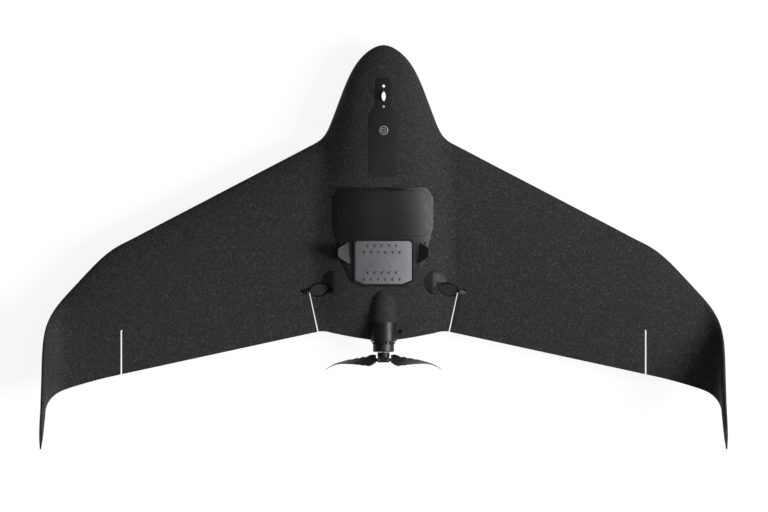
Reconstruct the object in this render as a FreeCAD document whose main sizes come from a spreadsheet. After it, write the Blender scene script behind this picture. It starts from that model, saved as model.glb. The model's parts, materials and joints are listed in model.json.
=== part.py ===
"""Flying-wing survey drone: foam airframe, detachable wings, elevons, pusher motor and belly camera.

Frame: X to the right wing tip, Y forward to the nose, Z up. The origin is under the middle of the
bounding box, at the level of the belly skid that the drone rests on. Lengths are millimetres.
"""

import FreeCAD
import Part
import Sketcher
import math
import os
import types

from FreeCAD import Placement, Rotation, Vector

# ---------------------------------------------------------------- driving dimensions

DIMENSIONS = {
    # planform of the straight wing: leading and trailing edge lines through the root
    "root_x": 126.0,
    "root_lead_y": 169.3,
    "root_trail_y": -146.3,
    "lead_slope": 0.5217,
    "trail_slope": 0.2168,
    "root_thick": 36.0,
    "thick_slope": 0.0475,
    "chord_z": 48.0,
    "dihedral": 0.0135,
    "camber": 0.012,
    "trail_thick": 2.4,
    "joint_gap": 0.2,
    # centre body
    "tail_y": -158.5,
    "nose_z": 43.0,
    "tail_z": 49.5,
    "blend_x": 122.0,
    "tail_side_y": -142.4,
    "tail_half": 98.0,
    "split_z": 47.0,
    "belly_z": 0.6,
    # elevons
    "hinge_in_x": 124.0,
    "hinge_in_y": -75.0,
    "hinge_in_z": 59.6,
    "hinge_out_x": 443.0,
    "hinge_out_y": -141.0,
    "hinge_out_z": 61.8,
    "elevon_in_x": 125.9,
    "elevon_in_slope": 0.2111,
    "elevon_out_x": 440.9,
    "body_side_x": 124.6,
    "body_side_slope": 0.2215,
    "slot_front_y": -75.5,
    "foam_gap": 0.25,
    "slot_out": 2.4,
    "web_thick": 1.2,
    "web_half": 3.0,
    "bevel_deg": 29.0,
    # spars
    "spar_y": 5.0,
    "spar_z": 50.0,
    "spar_r": 6.0,
    "spar_wall": 1.0,
    "spar_half": 262.0,
    "pin_spar_y": -40.0,
    "pin_spar_z": 46.5,
    "pin_spar_r": 4.0,
    "pin_spar_half": 196.0,
    "spar_fit": 0.08,
    "rib_thick": 3.0,
    "rib_long": 116.0,
    "rib_tall": 18.0,
    "rib_y": 3.0,
    "rib_z": 49.5,
    "body_fit": 0.05,
    # deck, hatch and heat sink
    "hatch_front_y": 94.7,
    "hatch_rear_y": 18.5,
    "hatch_half": 78.5,
    "hatch_corner": 11.0,
    "hatch_gap": 0.5,
    "skin_up": 1.8,
    "skin_down": 1.4,
    "hinge_pin_r": 1.0,
    "hinge_fit": 0.06,
    "hinge_barrel_r": 2.1,
    "hatch_hinge_ahead": 2.5,
    "hatch_hinge_up": 1.0,
    "hinge_half": 30.0,
    "hinge_knuckle": 9.0,
    "magnet_r": 4.0,
    "magnet_thick": 2.0,
    "magnet_x": 60.0,
    "magnet_y": 26.0,
    "boss_deep": 5.0,
    "screw_head_r": 2.2,
    "screw_head_tall": 1.3,
    "sink_wide": 95.0,
    "sink_long": 72.8,
    "sink_front_cut": 3.7,
    "sink_rear_wide": 15.6,
    "sink_rear_long": 6.7,
    "sink_thick": 3.0,
    "sink_y": -26.2,
    "sink_z": 87.8,
    "sink_tilt": 8.4,
    "sink_stud_r": 2.3,
    "sink_stud_tall": 2.4,
    "sink_pitch": 12.0,
    "sink_row_front": 28.5,
    "sink_row_rear": -29.0,
    "sink_row_step": 11.4,
    # power, electronics
    "battery_wide": 100.0,
    "battery_long": 68.0,
    "battery_tall": 36.0,
    "battery_y": 57.0,
    "battery_z": 38.0,
    "battery_round": 5.0,
    "bay_clear": 2.0,
    "bay_rear_y": 21.0,
    "bay_front_y": 92.0,
    "ebay_floor_z": 54.0,
    "ebay_rear_y": -62.0,
    "ebay_front_y": -3.0,
    "board_wide": 78.0,
    "board_long": 46.0,
    "board_thick": 1.6,
    "board_y": -27.0,
    "board_z": 66.0,
    "esc_wide": 44.0,
    "esc_long": 20.0,
    "esc_tall": 8.0,
    "esc_y": -50.0,
    "esc_z": 59.0,
    "lead_r": 1.4,
    "antenna_x": 57.5,
    "antenna_lean": 44.0,
    "antenna_thick": 2.4,
    # nose panel
    "panel_half": 23.6,
    "panel_front_y": 224.0,
    "panel_rear_y": 117.0,
    "panel_tab_half": 12.5,
    "panel_tab_y": 285.0,
    "panel_neck_y": 236.0,
    "panel_up": 0.8,
    "panel_down": 1.4,
    "button_y": 196.4,
    "panel_corner": 11.7,
    "button_ring_r": 7.9,
    "button_cap_r": 6.2,
    "button_fit": 0.1,
    "button_mark_out": 4.2,
    "button_mark_in": 2.5,
    "mast_y": 253.9,
    "mast_half_long": 7.9,
    "mast_half_wide": 3.35,
    "mast_tall": 8.0,
    "mast_screw_r": 2.4,
    "mast_screw_gap": 17.3,
    # motor and propeller
    "motor_z": 60.0,
    "shroud_r": 22.0,
    "shroud_wall": 2.0,
    "shroud_front_y": -127.0,
    "shroud_rear_y": -159.5,
    "bell_r": 17.8,
    "bell_step": 1.6,
    "bell_front_y": -147.0,
    "bell_rear_y": -177.0,
    "bell_wall": 1.6,
    "magnet_ring": 1.4,
    "stator_r": 12.8,
    "shaft_r": 2.0,
    "mount_front_y": -131.0,
    "hub_front_y": -177.6,
    "hub_r": 10.2,
    "cheek_thick": 2.2,
    "lug_r": 4.2,
    "lug_tall": 8.0,
    "blade_y": -190.5,
    "blade_pin_x": 7.4,
    "blade_pin_r": 1.3,
    "pin_fit": 0.05,
    "ear_y": -142.6,
    "ear_z": 46.5,
    "ear_tall": 3.0,
    # elevon drive: stations along the hinge line count outboard from its inner end
    "servo_wide": 16.0,
    "servo_deep": 11.0,
    "servo_ahead": 15.0,
    "servo_behind": 7.0,
    "servo_end": -36.6,
    "lens_mid": -15.3,
    "lens_half": 17.9,
    "lens_wide": 9.9,
    "lens_thick": 3.4,
    "lens_gap": 0.8,
    "well_deep": 8.0,
    "rim_thick": 1.4,
    "rim_tall": 1.2,
    "tongue_y": -75.6,
    "tongue_wide": 2.8,
    "tongue_low": 60.8,
    "tongue_high": 63.0,
    "tongue_end_x": 132.0,
    "tongue_gap": 0.4,
    "socket_in": 3.3,
    "socket_out": 13.6,
    "socket_tall": 7.0,
    "inlay_wide": 8.0,
    "inlay_deep": 1.4,
    "inlay_rear_y": -134.0,
    "inlay_slope": 0.148,
    "fairing_ridge_x": 84.6,
    "fairing_mid_y": -58.0,
    "fairing_tall": 4.2,
    # camera
    "camera_y": 168.0,
    "camera_z": 37.0,
    "camera_r": 27.0,
    "camera_bay_r": 41.0,
    "camera_bay_top": 76.0,
    "yoke_wide": 66.0,
    "yoke_arm": 3.6,
    "turn_gap": 0.3,
    "trunnion_r": 3.5,
    "lens_r": 14.0,
    # skid
    "skid_half": 38.0,
    "skid_front_y": 118.0,
    "skid_rear_y": -48.0,
    "skid_thick": 2.0,
    "skid_screw_r": 2.6,
}

doc = FreeCAD.newDocument("survey_drone")
sheet = doc.addObject("Spreadsheet::Sheet", "dims")
for row, (alias, number) in enumerate(DIMENSIONS.items(), start=1):
    sheet.set(f"A{row}", alias)
    sheet.set(f"B{row}", repr(number))
    sheet.setAlias(f"B{row}", alias)
doc.recompute()


class Size(float):
    """A number that remembers the sheet expression it is worked out from."""

    def __new__(cls, number, text):
        size = float.__new__(cls, number)
        size.text = text
        return size

    def __add__(self, other):
        return Size(float(self) + float(other), f"({self.text} + {expression(other)})")

    def __sub__(self, other):
        return Size(float(self) - float(other), f"({self.text} - {expression(other)})")

    def __mul__(self, other):
        return Size(float(self) * float(other), f"({self.text} * {expression(other)})")

    def __truediv__(self, other):
        return Size(float(self) / float(other), f"({self.text} / {expression(other)})")

    def __neg__(self):
        return Size(-float(self), f"(0 - {self.text})")


def expression(size):
    """What the sheet's expression language calls a size or a plain number."""
    return size.text if isinstance(size, Size) else repr(float(size))


D = types.SimpleNamespace(**{alias: Size(sheet.get(alias), f"dims.{alias}") for alias in DIMENSIONS})

SIDES = {"left": -1, "right": 1}
UP = Vector(0, 0, 1)
AFT = Vector(0, -1, 0)
PARTS = []  # every object that is written out as a piece

# ---------------------------------------------------------------- document helpers


def keep(item, label):
    """Names an object as one finished piece of the drone."""
    item.Label = label
    PARTS.append(item)
    return item


def bind(item, prop, size):
    """Sets a property, through the sheet when the size comes from it."""
    setattr(item, prop, float(size))
    if isinstance(size, Size):
        item.setExpression(prop, size.text)


def feature(label, shape, place=Placement()):
    """A free-form piece whose shape is worked out with Part's own functions."""
    item = doc.addObject("Part::Feature", label)
    item.Shape = shape
    item.Placement = place.multiply(shape.Placement)
    return keep(item, label)


def block(name, wide, deep, tall, centre, turn=Rotation()):
    """A box about its centre."""
    item = doc.addObject("Part::Box", name)
    for prop, size in zip(("Length", "Width", "Height"), (wide, deep, tall)):
        bind(item, prop, size)
    corner = Placement(Vector(wide, deep, tall) * -0.5, Rotation())
    item.Placement = Placement(centre, turn).multiply(corner)
    return item


def drum(name, radius, length, start, along=UP):
    """A round bar that starts at a point and runs along a direction."""
    item = doc.addObject("Part::Cylinder", name)
    bind(item, "Radius", radius)
    bind(item, "Height", length)
    item.Placement = Placement(start, Rotation(UP, along))
    return item


def group(label, pieces):
    """Identical separate solids that share one node."""
    item = doc.addObject("Part::Compound", label)
    item.Links = pieces
    return keep(item, label)


def less(label, base, tool):
    """One object cut out of another."""
    item = doc.addObject("Part::Cut", label)
    item.Base = base
    item.Tool = tool
    item.Refine = True
    return item


# ---------------------------------------------------------------- sketched bodies


def new_body(label):
    body = doc.addObject("PartDesign::Body", label)
    return keep(body, label)


def sketch_on(body, role="XY_Plane"):
    """A sketch on one of the body's own origin planes."""
    sketch = body.newObject("Sketcher::SketchObject", body.Name + "_sketch")
    plane = next(item for item in body.Origin.OriginFeatures if item.Role == role)
    sketch.AttachmentSupport = (plane, [""])
    sketch.MapMode = "FlatFace"
    return sketch


def dimension(sketch, kind, picks, size):
    """One driving dimension of a sketch, bound to the sheet when the size comes from it."""
    index = sketch.addConstraint(Sketcher.Constraint(kind, *picks, float(size)))
    if isinstance(size, Size):
        sketch.setExpression(f"Constraints[{index}]", size.text)


def draw_outline(sketch, corners):
    """A closed outline of straight sides, every corner dimensioned from the sketch's origin."""
    points = [Vector(x, y, 0) for x, y in corners]
    first = sketch.GeometryCount
    sides = [Part.LineSegment(a, b) for a, b in zip(points, points[1:] + points[:1])]
    sketch.addGeometry(sides, False)
    last = sketch.GeometryCount - 1
    for side in range(first, last + 1):
        following = first if side == last else side + 1
        sketch.addConstraint(Sketcher.Constraint("Coincident", side, 2, following, 1))
    for side, (x, y) in enumerate(corners, start=first):
        dimension(sketch, "DistanceX", (-1, 1, side, 1), x)
        dimension(sketch, "DistanceY", (-1, 1, side, 1), y)


def draw_circle(sketch, x, y, radius):
    circle = sketch.addGeometry(Part.Circle(Vector(x, y, 0), UP, float(radius)), False)
    dimension(sketch, "DistanceX", (-1, 1, circle, 3), x)
    dimension(sketch, "DistanceY", (-1, 1, circle, 3), y)
    dimension(sketch, "Radius", (circle,), radius)


def pad(body, sketch, length):
    item = body.newObject("PartDesign::Pad", body.Name + "_pad")
    item.Profile = sketch
    bind(item, "Length", length)
    sketch.Visibility = False
    return item


def plate(label, corners, thick, place, holes=()):
    """A flat piece padded from its outline, with round holes (x, y, radius)."""
    body = new_body(label)
    sketch = sketch_on(body)
    draw_outline(sketch, corners)
    for x, y, radius in holes:
        draw_circle(sketch, x, y, radius)
    pad(body, sketch, thick)
    body.Placement = place
    return body


def turned(label, profile, place):
    """A piece turned about its own X axis, from (distance along the axis, radius) corners."""
    body = new_body(label)
    sketch = sketch_on(body)
    draw_outline(sketch, profile)
    item = body.newObject("PartDesign::Revolution", body.Name + "_turn")
    item.Profile = sketch
    item.ReferenceAxis = (sketch, ["H_Axis"])
    item.Angle = 360
    body.Placement = place
    return body


def round_edges(body, radius, picks):
    """Fillets the edges of a body's tip that picks(edge) chooses."""
    doc.recompute()
    base = body.Tip
    edges = [f"Edge{n}" for n, edge in enumerate(base.Shape.Edges, start=1) if picks(edge)]
    item = body.newObject("PartDesign::Fillet", body.Name + "_fillet")
    item.Base = (base, edges)
    bind(item, "Radius", radius)
    return item


def rectangle(wide, deep):
    """Corners of a rectangle about the origin."""
    return [(-wide / 2, -deep / 2), (wide / 2, -deep / 2), (wide / 2, deep / 2), (-wide / 2, deep / 2)]


def upright(edge):
    """True for a straight edge along Z."""
    if len(edge.Vertexes) != 2:
        return False
    run = edge.Vertexes[1].Point - edge.Vertexes[0].Point
    return abs(run.x) + abs(run.y) < 1e-6


# ---------------------------------------------------------------- free-form helpers


def slab(x0, x1, y0, y1, z0, z1):
    """A plain block between two corners."""
    return Part.makeBox(x1 - x0, y1 - y0, z1 - z0, Vector(x0, y0, z0))


def rod(radius, start, end):
    """A round bar from one point to another."""
    along = end - start
    return Part.makeCylinder(radius, along.Length, start, along)


def prism(outline, z0, z1):
    """A vertical prism over an outline of (x, y) corners."""
    corners = [Vector(x, y, z0) for x, y in outline]
    face = Part.Face(Part.makePolygon(corners + corners[:1]))
    return face.extrude(Vector(0, 0, z1 - z0))


def both_sides(half):
    """A whole outline from its right half, listed from front to back."""
    return list(half) + [(-x, y) for x, y in reversed(half)]


def lifted(shape, rise):
    """A copy of a shape moved straight up."""
    copy = shape.copy()
    copy.translate(Vector(0, 0, rise))
    return copy


def mirrored(shape, side):
    """The shape itself on the right side, its mirror image on the left."""
    return shape if side > 0 else shape.mirror(Vector(0, 0, 0), Vector(1, 0, 0))


def solid_of(shape):
    """The largest solid of a boolean's result, without loose slivers."""
    return max(shape.Solids, key=lambda solid: solid.Volume)


# ---------------------------------------------------------------- aerodynamic surfaces

PROFILE_STEPS = 18
NACA = (0.2969, -0.1260, -0.3516, 0.2843, -0.1036)
SHARES = [(1 - math.cos(math.pi * step / PROFILE_STEPS)) / 2 for step in range(PROFILE_STEPS + 1)]


def half_thickness(share, thick):
    """Half the thickness of a four-digit wing section whose largest thickness is thick."""
    a, b, c, d, e = NACA
    root = a * math.sqrt(share) + b * share + c * share**2 + d * share**3 + e * share**4
    return 5 * thick * root + D.trail_thick / 2 * share


def camber_line(share, chord):
    return 4 * D.camber * chord * share * (1 - share)


def section_wire(lead, trail, up, upper, lower):
    """A closed section between its ends, with the heights of its two sides at SHARES."""
    chord = trail - lead
    top = [lead + chord * s + up * float(rise) for s, rise in zip(SHARES, upper)]
    bottom = [lead + chord * s + up * float(rise) for s, rise in zip(SHARES, lower)]
    points = list(reversed(top)) + bottom[1:]
    curve = Part.BSplineCurve()
    curve.interpolate(Points=points, Parameters=[i / (len(points) - 1) for i in range(len(points))])
    return Part.Wire([curve.toShape(), Part.makeLine(bottom[-1], top[-1])])


def wing_heights(chord, thick):
    """Upper and lower heights of a wing section over its chord line."""
    upper = [camber_line(s, chord) + half_thickness(s, thick) for s in SHARES]
    lower = [camber_line(s, chord) - half_thickness(s, thick) for s in SHARES]
    return upper, lower


def lead_y(x):
    return float(D.root_lead_y - D.lead_slope * (x - D.root_x))


def trail_y(x):
    return float(D.root_trail_y - D.trail_slope * (x - D.root_x))


def chord_z(x):
    return float(D.chord_z + D.dihedral * (x - D.root_x))


def straight_thick(x):
    """Thickness of the straight wing, tapering with the span."""
    return float(D.root_thick - D.thick_slope * (x - D.root_x))


STRAIGHT_STATIONS = (100.0, 160.0, 220.0, 280.0, 340.0, 400.0, 430.0)
STRAIGHT_END = 450.0
# Outer wing and winglet: x, leading edge y, trailing edge y, chord plane z, cant, thickness
TIP_STATIONS = (
    (450.0, 0.3, -216.5, 52.4, 0.0, 20.6),
    (475.0, -18.5, -222.2, 52.7, 0.0, 18.6),
    (502.0, -45.5, -229.5, 53.2, 2.0, 16.4),
    (527.0, -72.5, -237.0, 54.6, 8.0, 14.6),
    (549.5, -98.5, -246.0, 60.5, 31.0, 12.6),
    (561.5, -118.0, -256.0, 70.6, 52.0, 11.4),
    (569.2, -141.0, -270.0, 85.0, 71.0, 10.4),
    (571.8, -168.0, -285.5, 101.0, 83.0, 9.6),
    (572.7, -201.0, -300.5, 119.5, 86.0, 8.6),
    (573.8, -235.0, -315.0, 138.0, 86.0, 7.5),
    (575.2, -269.0, -328.5, 156.0, 86.0, 6.1),
    (576.8, -303.0, -340.0, 174.0, 86.0, 4.6),
)


def wing_wire(x, front, rear, z, cant, thick):
    lean = math.radians(cant)
    up = Vector(-math.sin(lean), 0, math.cos(lean))
    upper, lower = wing_heights(front - rear, thick)
    return section_wire(Vector(x, front, z), Vector(x, rear, z), up, upper, lower)


def straight_wire(x):
    return wing_wire(x, lead_y(x), trail_y(x), chord_z(x), 0.0, straight_thick(x))


def wing_loft():
    """The whole right wing with its winglet, from inside the centre body to the tip."""
    wires = [straight_wire(x) for x in STRAIGHT_STATIONS]
    wires += [wing_wire(*station) for station in TIP_STATIONS]
    return Part.makeLoft(wires, True, False)


def straight_loft():
    """The straight part of the right wing alone, ruled from root to tip: the elevons are cut from it."""
    return Part.makeLoft([straight_wire(x) for x in (STRAIGHT_STATIONS[0], STRAIGHT_END)], True, True)


# Nose planform: distance off the centre line, leading edge y
NOSE_STATIONS = (
    (0.0, 340.6),
    (28.0, 328.6),
    (48.0, 306.0),
    (62.0, 279.0),
    (75.0, 246.0),
    (88.0, 211.5),
    (97.0, 192.0),
    (108.0, 179.6),
    (117.0, 174.0),
    (126.0, 169.3),
)
TOP_FORM = {"front": 0.5, "rear": 0.9, "start": 92.0, "growth": 70.0}
BOTTOM_FORM = {"front": 0.5, "rear": 0.75, "start": 100.0, "growth": 85.0}


def fullness(x):
    """How much of the body's depth a section has: 1 on the centre line, 0 at the wing root."""
    share = min(1.0, abs(x) / D.blend_x)
    return (1 - share**3) ** 2


def body_rise(share, form):
    """Height of the body over its chord line, at a share of its length."""
    rise = share ** form["front"] * (1 - share) ** form["rear"]
    return rise * (form["start"] + form["growth"] * share) + D.trail_thick / 2 * share


def body_tail_y(x):
    """Trailing edge of the centre body, which swells aft under the motor."""
    swell = max(0.0, 1 - (abs(x) / D.tail_half) ** 1.4)
    return float(D.tail_side_y + (D.tail_y - D.tail_side_y) * swell)


def body_wire(x, front):
    """One section of the centre body, between the wing's section and the body's own."""
    full = fullness(x)
    rear = body_tail_y(x)
    z_front = float(D.chord_z + (D.nose_z - D.chord_z) * full)
    z_rear = float(D.chord_z + (D.tail_z - D.chord_z) * full)
    wing_up, wing_down = wing_heights(front - rear, D.root_thick)
    upper = [high + full * (body_rise(s, TOP_FORM) - high) for s, high in zip(SHARES, wing_up)]
    lower = [low - full * (body_rise(s, BOTTOM_FORM) + low) for s, low in zip(SHARES, wing_down)]
    return section_wire(Vector(x, front, z_front), Vector(x, rear, z_rear), UP, upper, lower)


def body_loft():
    """The centre body from wing root to wing root, as one solid."""
    right = [body_wire(x, front) for x, front in NOSE_STATIONS]
    left = [body_wire(-x, front) for x, front in reversed(NOSE_STATIONS[1:])]
    return Part.makeLoft(left + right, True, False)


WING = wing_loft()
STRAIGHT = straight_loft()
BODY = body_loft()


def top_z(x, y, shape=BODY):
    """Height of a foam body's top skin over one point."""
    line = Part.makeLine(Vector(x, y, -100), Vector(x, y, 300))
    return line.common(shape).BoundBox.ZMax


def skin(outline, above, below):
    """A shell that follows the centre body's top skin inside an outline."""
    column = prism(outline, D.split_z + 5, D.split_z + 80)
    return column.common(lifted(BODY, float(above))).cut(lifted(BODY, -float(below)))


def over_skin(outline, depth):
    """Everything inside an outline down to a depth below the centre body's top skin."""
    return prism(outline, D.split_z + 5, D.split_z + 80).cut(lifted(BODY, -float(depth)))


# ---------------------------------------------------------------- hinge line of the right elevon

HINGE_IN = Vector(D.hinge_in_x, D.hinge_in_y, D.hinge_in_z)
HINGE_OUT = Vector(D.hinge_out_x, D.hinge_out_y, D.hinge_out_z)
HINGE_ALONG = (HINGE_OUT - HINGE_IN).normalize()
HINGE_AHEAD = UP.cross(HINGE_ALONG).normalize()
# Local frame of the hinge: X outboard along the hinge line, Y ahead, Z up
HINGE = Placement(HINGE_IN, Rotation(HINGE_ALONG, HINGE_AHEAD, UP, "XYZ"))


def at_hinge(shape):
    """Moves a shape from the hinge's local frame to the right wing."""
    shape.Placement = HINGE.multiply(shape.Placement)
    return shape


def hinge_y(x):
    """Y of the hinge line over a station."""
    return HINGE_IN.y + (x - HINGE_IN.x) * HINGE_ALONG.y / HINGE_ALONG.x


def elevon_end_x(y):
    """The slanted inner end of the elevon."""
    return float(D.elevon_in_x + D.elevon_in_slope * (y - D.slot_front_y))


def body_side_x(y):
    """The body's side of the slot beside the elevon."""
    return float(D.body_side_x + D.body_side_slope * (y - D.slot_front_y))


def hinge_prism(outline, start, end):
    """A bar along the hinge line over an outline of local (y, z) corners."""
    corners = [Vector(start, y, z) for y, z in outline]
    face = Part.Face(Part.makePolygon(corners + corners[:1]))
    return at_hinge(face.extrude(Vector(end - start, 0, 0)))


WEB_START = 15.0  # the hinge strip starts outboard of the drive's socket


def web_band():
    """The strip over the hinge line where foam skin is left as the living hinge."""
    half, depth = float(D.web_half), float(D.web_thick) / 2
    return [(-half, -depth), (half, -depth), (half, 12.0), (-half, 12.0)]


def elevon_outline():
    front, rear = float(D.hinge_in_y) + 8, -260.0
    outer = float(D.elevon_out_x)
    return [
        (elevon_end_x(front), front),
        (outer, hinge_y(outer) + 8),
        (outer, rear),
        (elevon_end_x(rear), rear),
    ]


def elevon_shape():
    slope = math.tan(math.radians(D.bevel_deg))
    gap, web_gap = float(D.foam_gap), 0.05
    seat, ledge = -float(D.web_half) - web_gap, -float(D.web_thick) / 2 - web_gap
    ahead = [
        (seat, 20),
        (seat, ledge),
        (ledge * slope - gap, ledge),
        (-60 * slope - gap, -60),
        (60, -60),
        (60, 20),
    ]
    foam = STRAIGHT.common(prism(elevon_outline(), 0, 120))
    return solid_of(foam.cut([hinge_prism(ahead, -40, 360), inlay_block(3.0)]))


def hinge_web_shape():
    band = hinge_prism(web_band(), WEB_START, 322.5)
    return solid_of(band.common(STRAIGHT))


def inlay_outline(past=0.0):
    """The strip of skin at the elevon's inner end that its plastic fitting takes up."""
    front, rear = hinge_y(D.elevon_in_x) - 0.5 + past, float(D.inlay_rear_y)
    wide = float(D.inlay_wide)
    return [
        (elevon_end_x(front) - past, front),
        (elevon_end_x(front) + wide, front),
        (elevon_end_x(rear) + wide, rear),
        (elevon_end_x(rear) - past, rear),
    ]


def inlay_block(past=0.0):
    """Everything over the slanted bed that the elevon's fitting lies in."""
    front, rear = float(D.hinge_in_y) + 3, float(D.inlay_rear_y)
    fall = float(D.inlay_slope)
    low = float(D.hinge_in_z - D.inlay_deep) + 0.5
    bed = [(front, low), (rear, low - fall * (front - rear)), (rear, 90.0), (front, 90.0)]
    corners = [Vector(80, y, z) for y, z in bed]
    block_shape = Part.Face(Part.makePolygon(corners + corners[:1])).extrude(Vector(80, 0, 0))
    return block_shape.common(prism(inlay_outline(past), 0, 120))


def root_rib_outline():
    return rectangle(D.rib_long, D.rib_tall)


def wing_panel_shape():
    """The right wing less its elevon bay, hinge strip, spar bores, rib and tip-side slot."""
    gap = float(D.foam_gap)
    inner = float(D.root_x + D.joint_gap / 2)
    outer = float(D.elevon_out_x + D.slot_out)
    bay = [
        (inner - 5, hinge_y(inner - 5) + gap),
        (outer, hinge_y(outer) + gap),
        (outer, -300.0),
        (inner - 5, -300.0),
    ]
    foam = WING.common(slab(inner, 700, -400, 250, 0, 300))
    swing = [(-1.0, -2.6), (6.8, -2.6), (6.8, 30.0), (-1.0, 30.0)]
    tools = [prism(bay, 0, 120), hinge_prism(web_band(), WEB_START, 322.5)]
    tools.append(hinge_prism(swing, 0, WEB_START - 0.6))
    far = Vector(D.spar_half + 6, D.spar_y, D.spar_z)
    tools.append(rod(D.spar_r + D.spar_fit, Vector(100, far.y, far.z), far))
    far = Vector(D.pin_spar_half + 6, D.pin_spar_y, D.pin_spar_z)
    tools.append(rod(D.pin_spar_r + D.spar_fit, Vector(100, far.y, far.z), far))
    half_long = D.rib_long / 2
    half_tall = D.rib_tall / 2
    y, z = float(D.rib_y), float(D.rib_z)
    tools.append(
        slab(inner - 1, inner + D.rib_thick, y - half_long, y + half_long, z - half_tall, z + half_tall)
    )
    return solid_of(foam.cut(tools))


# ---------------------------------------------------------------- wings and elevons


def make_wings():
    panel, web, elevon = wing_panel_shape(), hinge_web_shape(), elevon_shape()
    for name, side in SIDES.items():
        feature(f"{name}_wing_panel", mirrored(panel, side))
        feature(f"{name}_elevon_hinge", mirrored(web, side))
        feature(f"{name}_elevon", mirrored(elevon, side))


def make_ribs():
    """Plastic plates that meet at each wing joint, pierced by both spars."""
    for name, side in SIDES.items():
        inner = D.root_x + D.joint_gap / 2
        rib_plate(f"{name}_wing_rib", inner, side, D.spar_fit)
        inner = D.root_x - D.joint_gap / 2 - D.rib_thick
        rib_plate(f"{name}_body_rib", inner, side, D.body_fit)


def rib_plate(label, inner, side, fit):
    """One plate, its sketch drawn along Y and Z, padded along X."""
    stand = Rotation(Vector(0, 1, 0), UP, Vector(1, 0, 0), "XYZ")
    holes = [
        (D.spar_y - D.rib_y, D.spar_z - D.rib_z, D.spar_r + fit),
        (D.pin_spar_y - D.rib_y, D.pin_spar_z - D.rib_z, D.pin_spar_r + fit),
    ]
    start = inner if side > 0 else -inner - D.rib_thick
    place = Placement(Vector(start, D.rib_y, D.rib_z), stand)
    plate(label, root_rib_outline(), D.rib_thick, place, holes)


def make_spars():
    """Carbon tubes fixed in the body; the wings slide onto their ends."""
    rolls = {
        "main_spar": (D.spar_r, D.spar_wall, D.spar_half, D.spar_y, D.spar_z),
        "rear_spar": (D.pin_spar_r, D.spar_wall, D.pin_spar_half, D.pin_spar_y, D.pin_spar_z),
    }
    for label, (radius, wall, half, y, z) in rolls.items():
        start = Vector(-half, y, z)
        outer = drum(f"{label}_outside", radius, half * 2, start, Vector(1, 0, 0))
        inner = drum(f"{label}_bore", radius - wall, half * 2, start, Vector(1, 0, 0))
        keep(less(label, outer, inner), label)


# ---------------------------------------------------------------- elevon drive

def lens_wire(grow, rise):
    """Lens outline across the hinge line, in the hinge's local frame, grown on all sides."""
    half, wide = float(D.lens_half) + 1.4 * grow, float(D.lens_wide) + grow
    middle = float(D.lens_mid)
    ends = [Vector(middle - half, 0, rise), Vector(middle + half, 0, rise)]
    arcs = [Part.Arc(ends[0], Vector(middle, side * wide, rise), ends[1]) for side in (-1, 1)]
    return Part.Wire([arc.toShape() for arc in arcs])


def lens_post(grow, low, high):
    """Upright lens-shaped post over the hinge line."""
    return at_hinge(Part.Face(lens_wire(grow, low)).extrude(Vector(0, 0, high - low)))


def neck(half, low, start, end):
    """Straight cut over the hinge line, open at the top."""
    return hinge_prism([(-half, low), (half, low), (half, 20.0), (-half, 20.0)], start, end)


def axle(radius, start, end):
    """Round bar on the hinge line."""
    return at_hinge(Part.makeCylinder(radius, end - start, Vector(start, 0, 0), Vector(1, 0, 0)))


def drive_well():
    """The lens-shaped well that the drive arm swings in, flared at the top."""
    gap, knee, top = float(D.lens_gap), 2.5, 13.0
    straight = lens_post(gap, -float(D.well_deep), knee)
    flare = at_hinge(Part.makeLoft([lens_wire(gap, knee), lens_wire(gap + 5.5, top)], True, True))
    return [straight, flare, neck(3.6, -2.0, -2.0, 3.0)]


def arm_shape():
    """Lens-shaped plate on the servo shaft, with a flat tongue that reaches into the elevon's socket."""
    half = float(D.lens_thick) / 2
    plate_shape = lens_post(0.0, -half, half)
    plate_shape = plate_shape.makeFillet(0.9, [e for e in plate_shape.Edges if not upright(e)])
    plate_shape = plate_shape.common(slab(60, D.root_x - 0.6, -110, -40, 40, 80))
    wide = D.tongue_wide / 2
    tongue = slab(
        118, D.tongue_end_x, D.tongue_y - wide, D.tongue_y + wide, D.tongue_low, D.tongue_high
    )
    return solid_of(plate_shape.fuse([tongue, axle(2.6, float(D.servo_end) + 1.3, -29.0)]))


def horn_shape():
    """Fitting at the elevon's inner end: an inlaid skin plate and a socket with a sloping top."""
    low, high = -0.6, float(D.socket_tall)
    profile = [(-2.4, low), (3.4, low), (3.4, high - 0.8), (2.6, high), (-1.6, high), (-2.4, high - 0.8)]
    start, end = float(D.socket_in), float(D.socket_out)
    socket = hinge_prism(profile, start, end)
    slope = [Vector(start + 1.0, -9, high), Vector(end + 1, -9, 1.9), Vector(end + 1, -9, 20.0)]
    slope.append(Vector(start + 1.0, -9, 20.0))
    above = Part.Face(Part.makePolygon(slope + slope[:1])).extrude(Vector(0, 18, 0))
    inlay = inlay_block().common(STRAIGHT)
    wide, gap = D.tongue_wide / 2 + D.tongue_gap, D.tongue_gap
    hollow = slab(
        120,
        D.tongue_end_x + gap,
        D.tongue_y - wide,
        D.tongue_y + wide,
        D.tongue_low - gap,
        D.tongue_high + gap,
    )
    return solid_of(inlay.fuse(socket.cut(at_hinge(above))).cut(hollow))


def make_drives():
    arm, horn = arm_shape(), horn_shape()
    for name, side in SIDES.items():
        feature(f"{name}_elevon_horn", mirrored(horn, side))
        feature(f"{name}_drive_arm", mirrored(arm, side))


def servo_shape(clearance=0.0, top=None):
    """A small servo lying in the foam, its shaft on the hinge line."""
    end = float(D.servo_end)
    half = float(D.servo_deep) / 2 + clearance
    high = half if top is None else top
    ahead, behind = D.servo_ahead + clearance, D.servo_behind + clearance
    return at_hinge(slab(end - D.servo_wide - clearance, end + clearance, -behind, ahead, -half, high))


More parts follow.
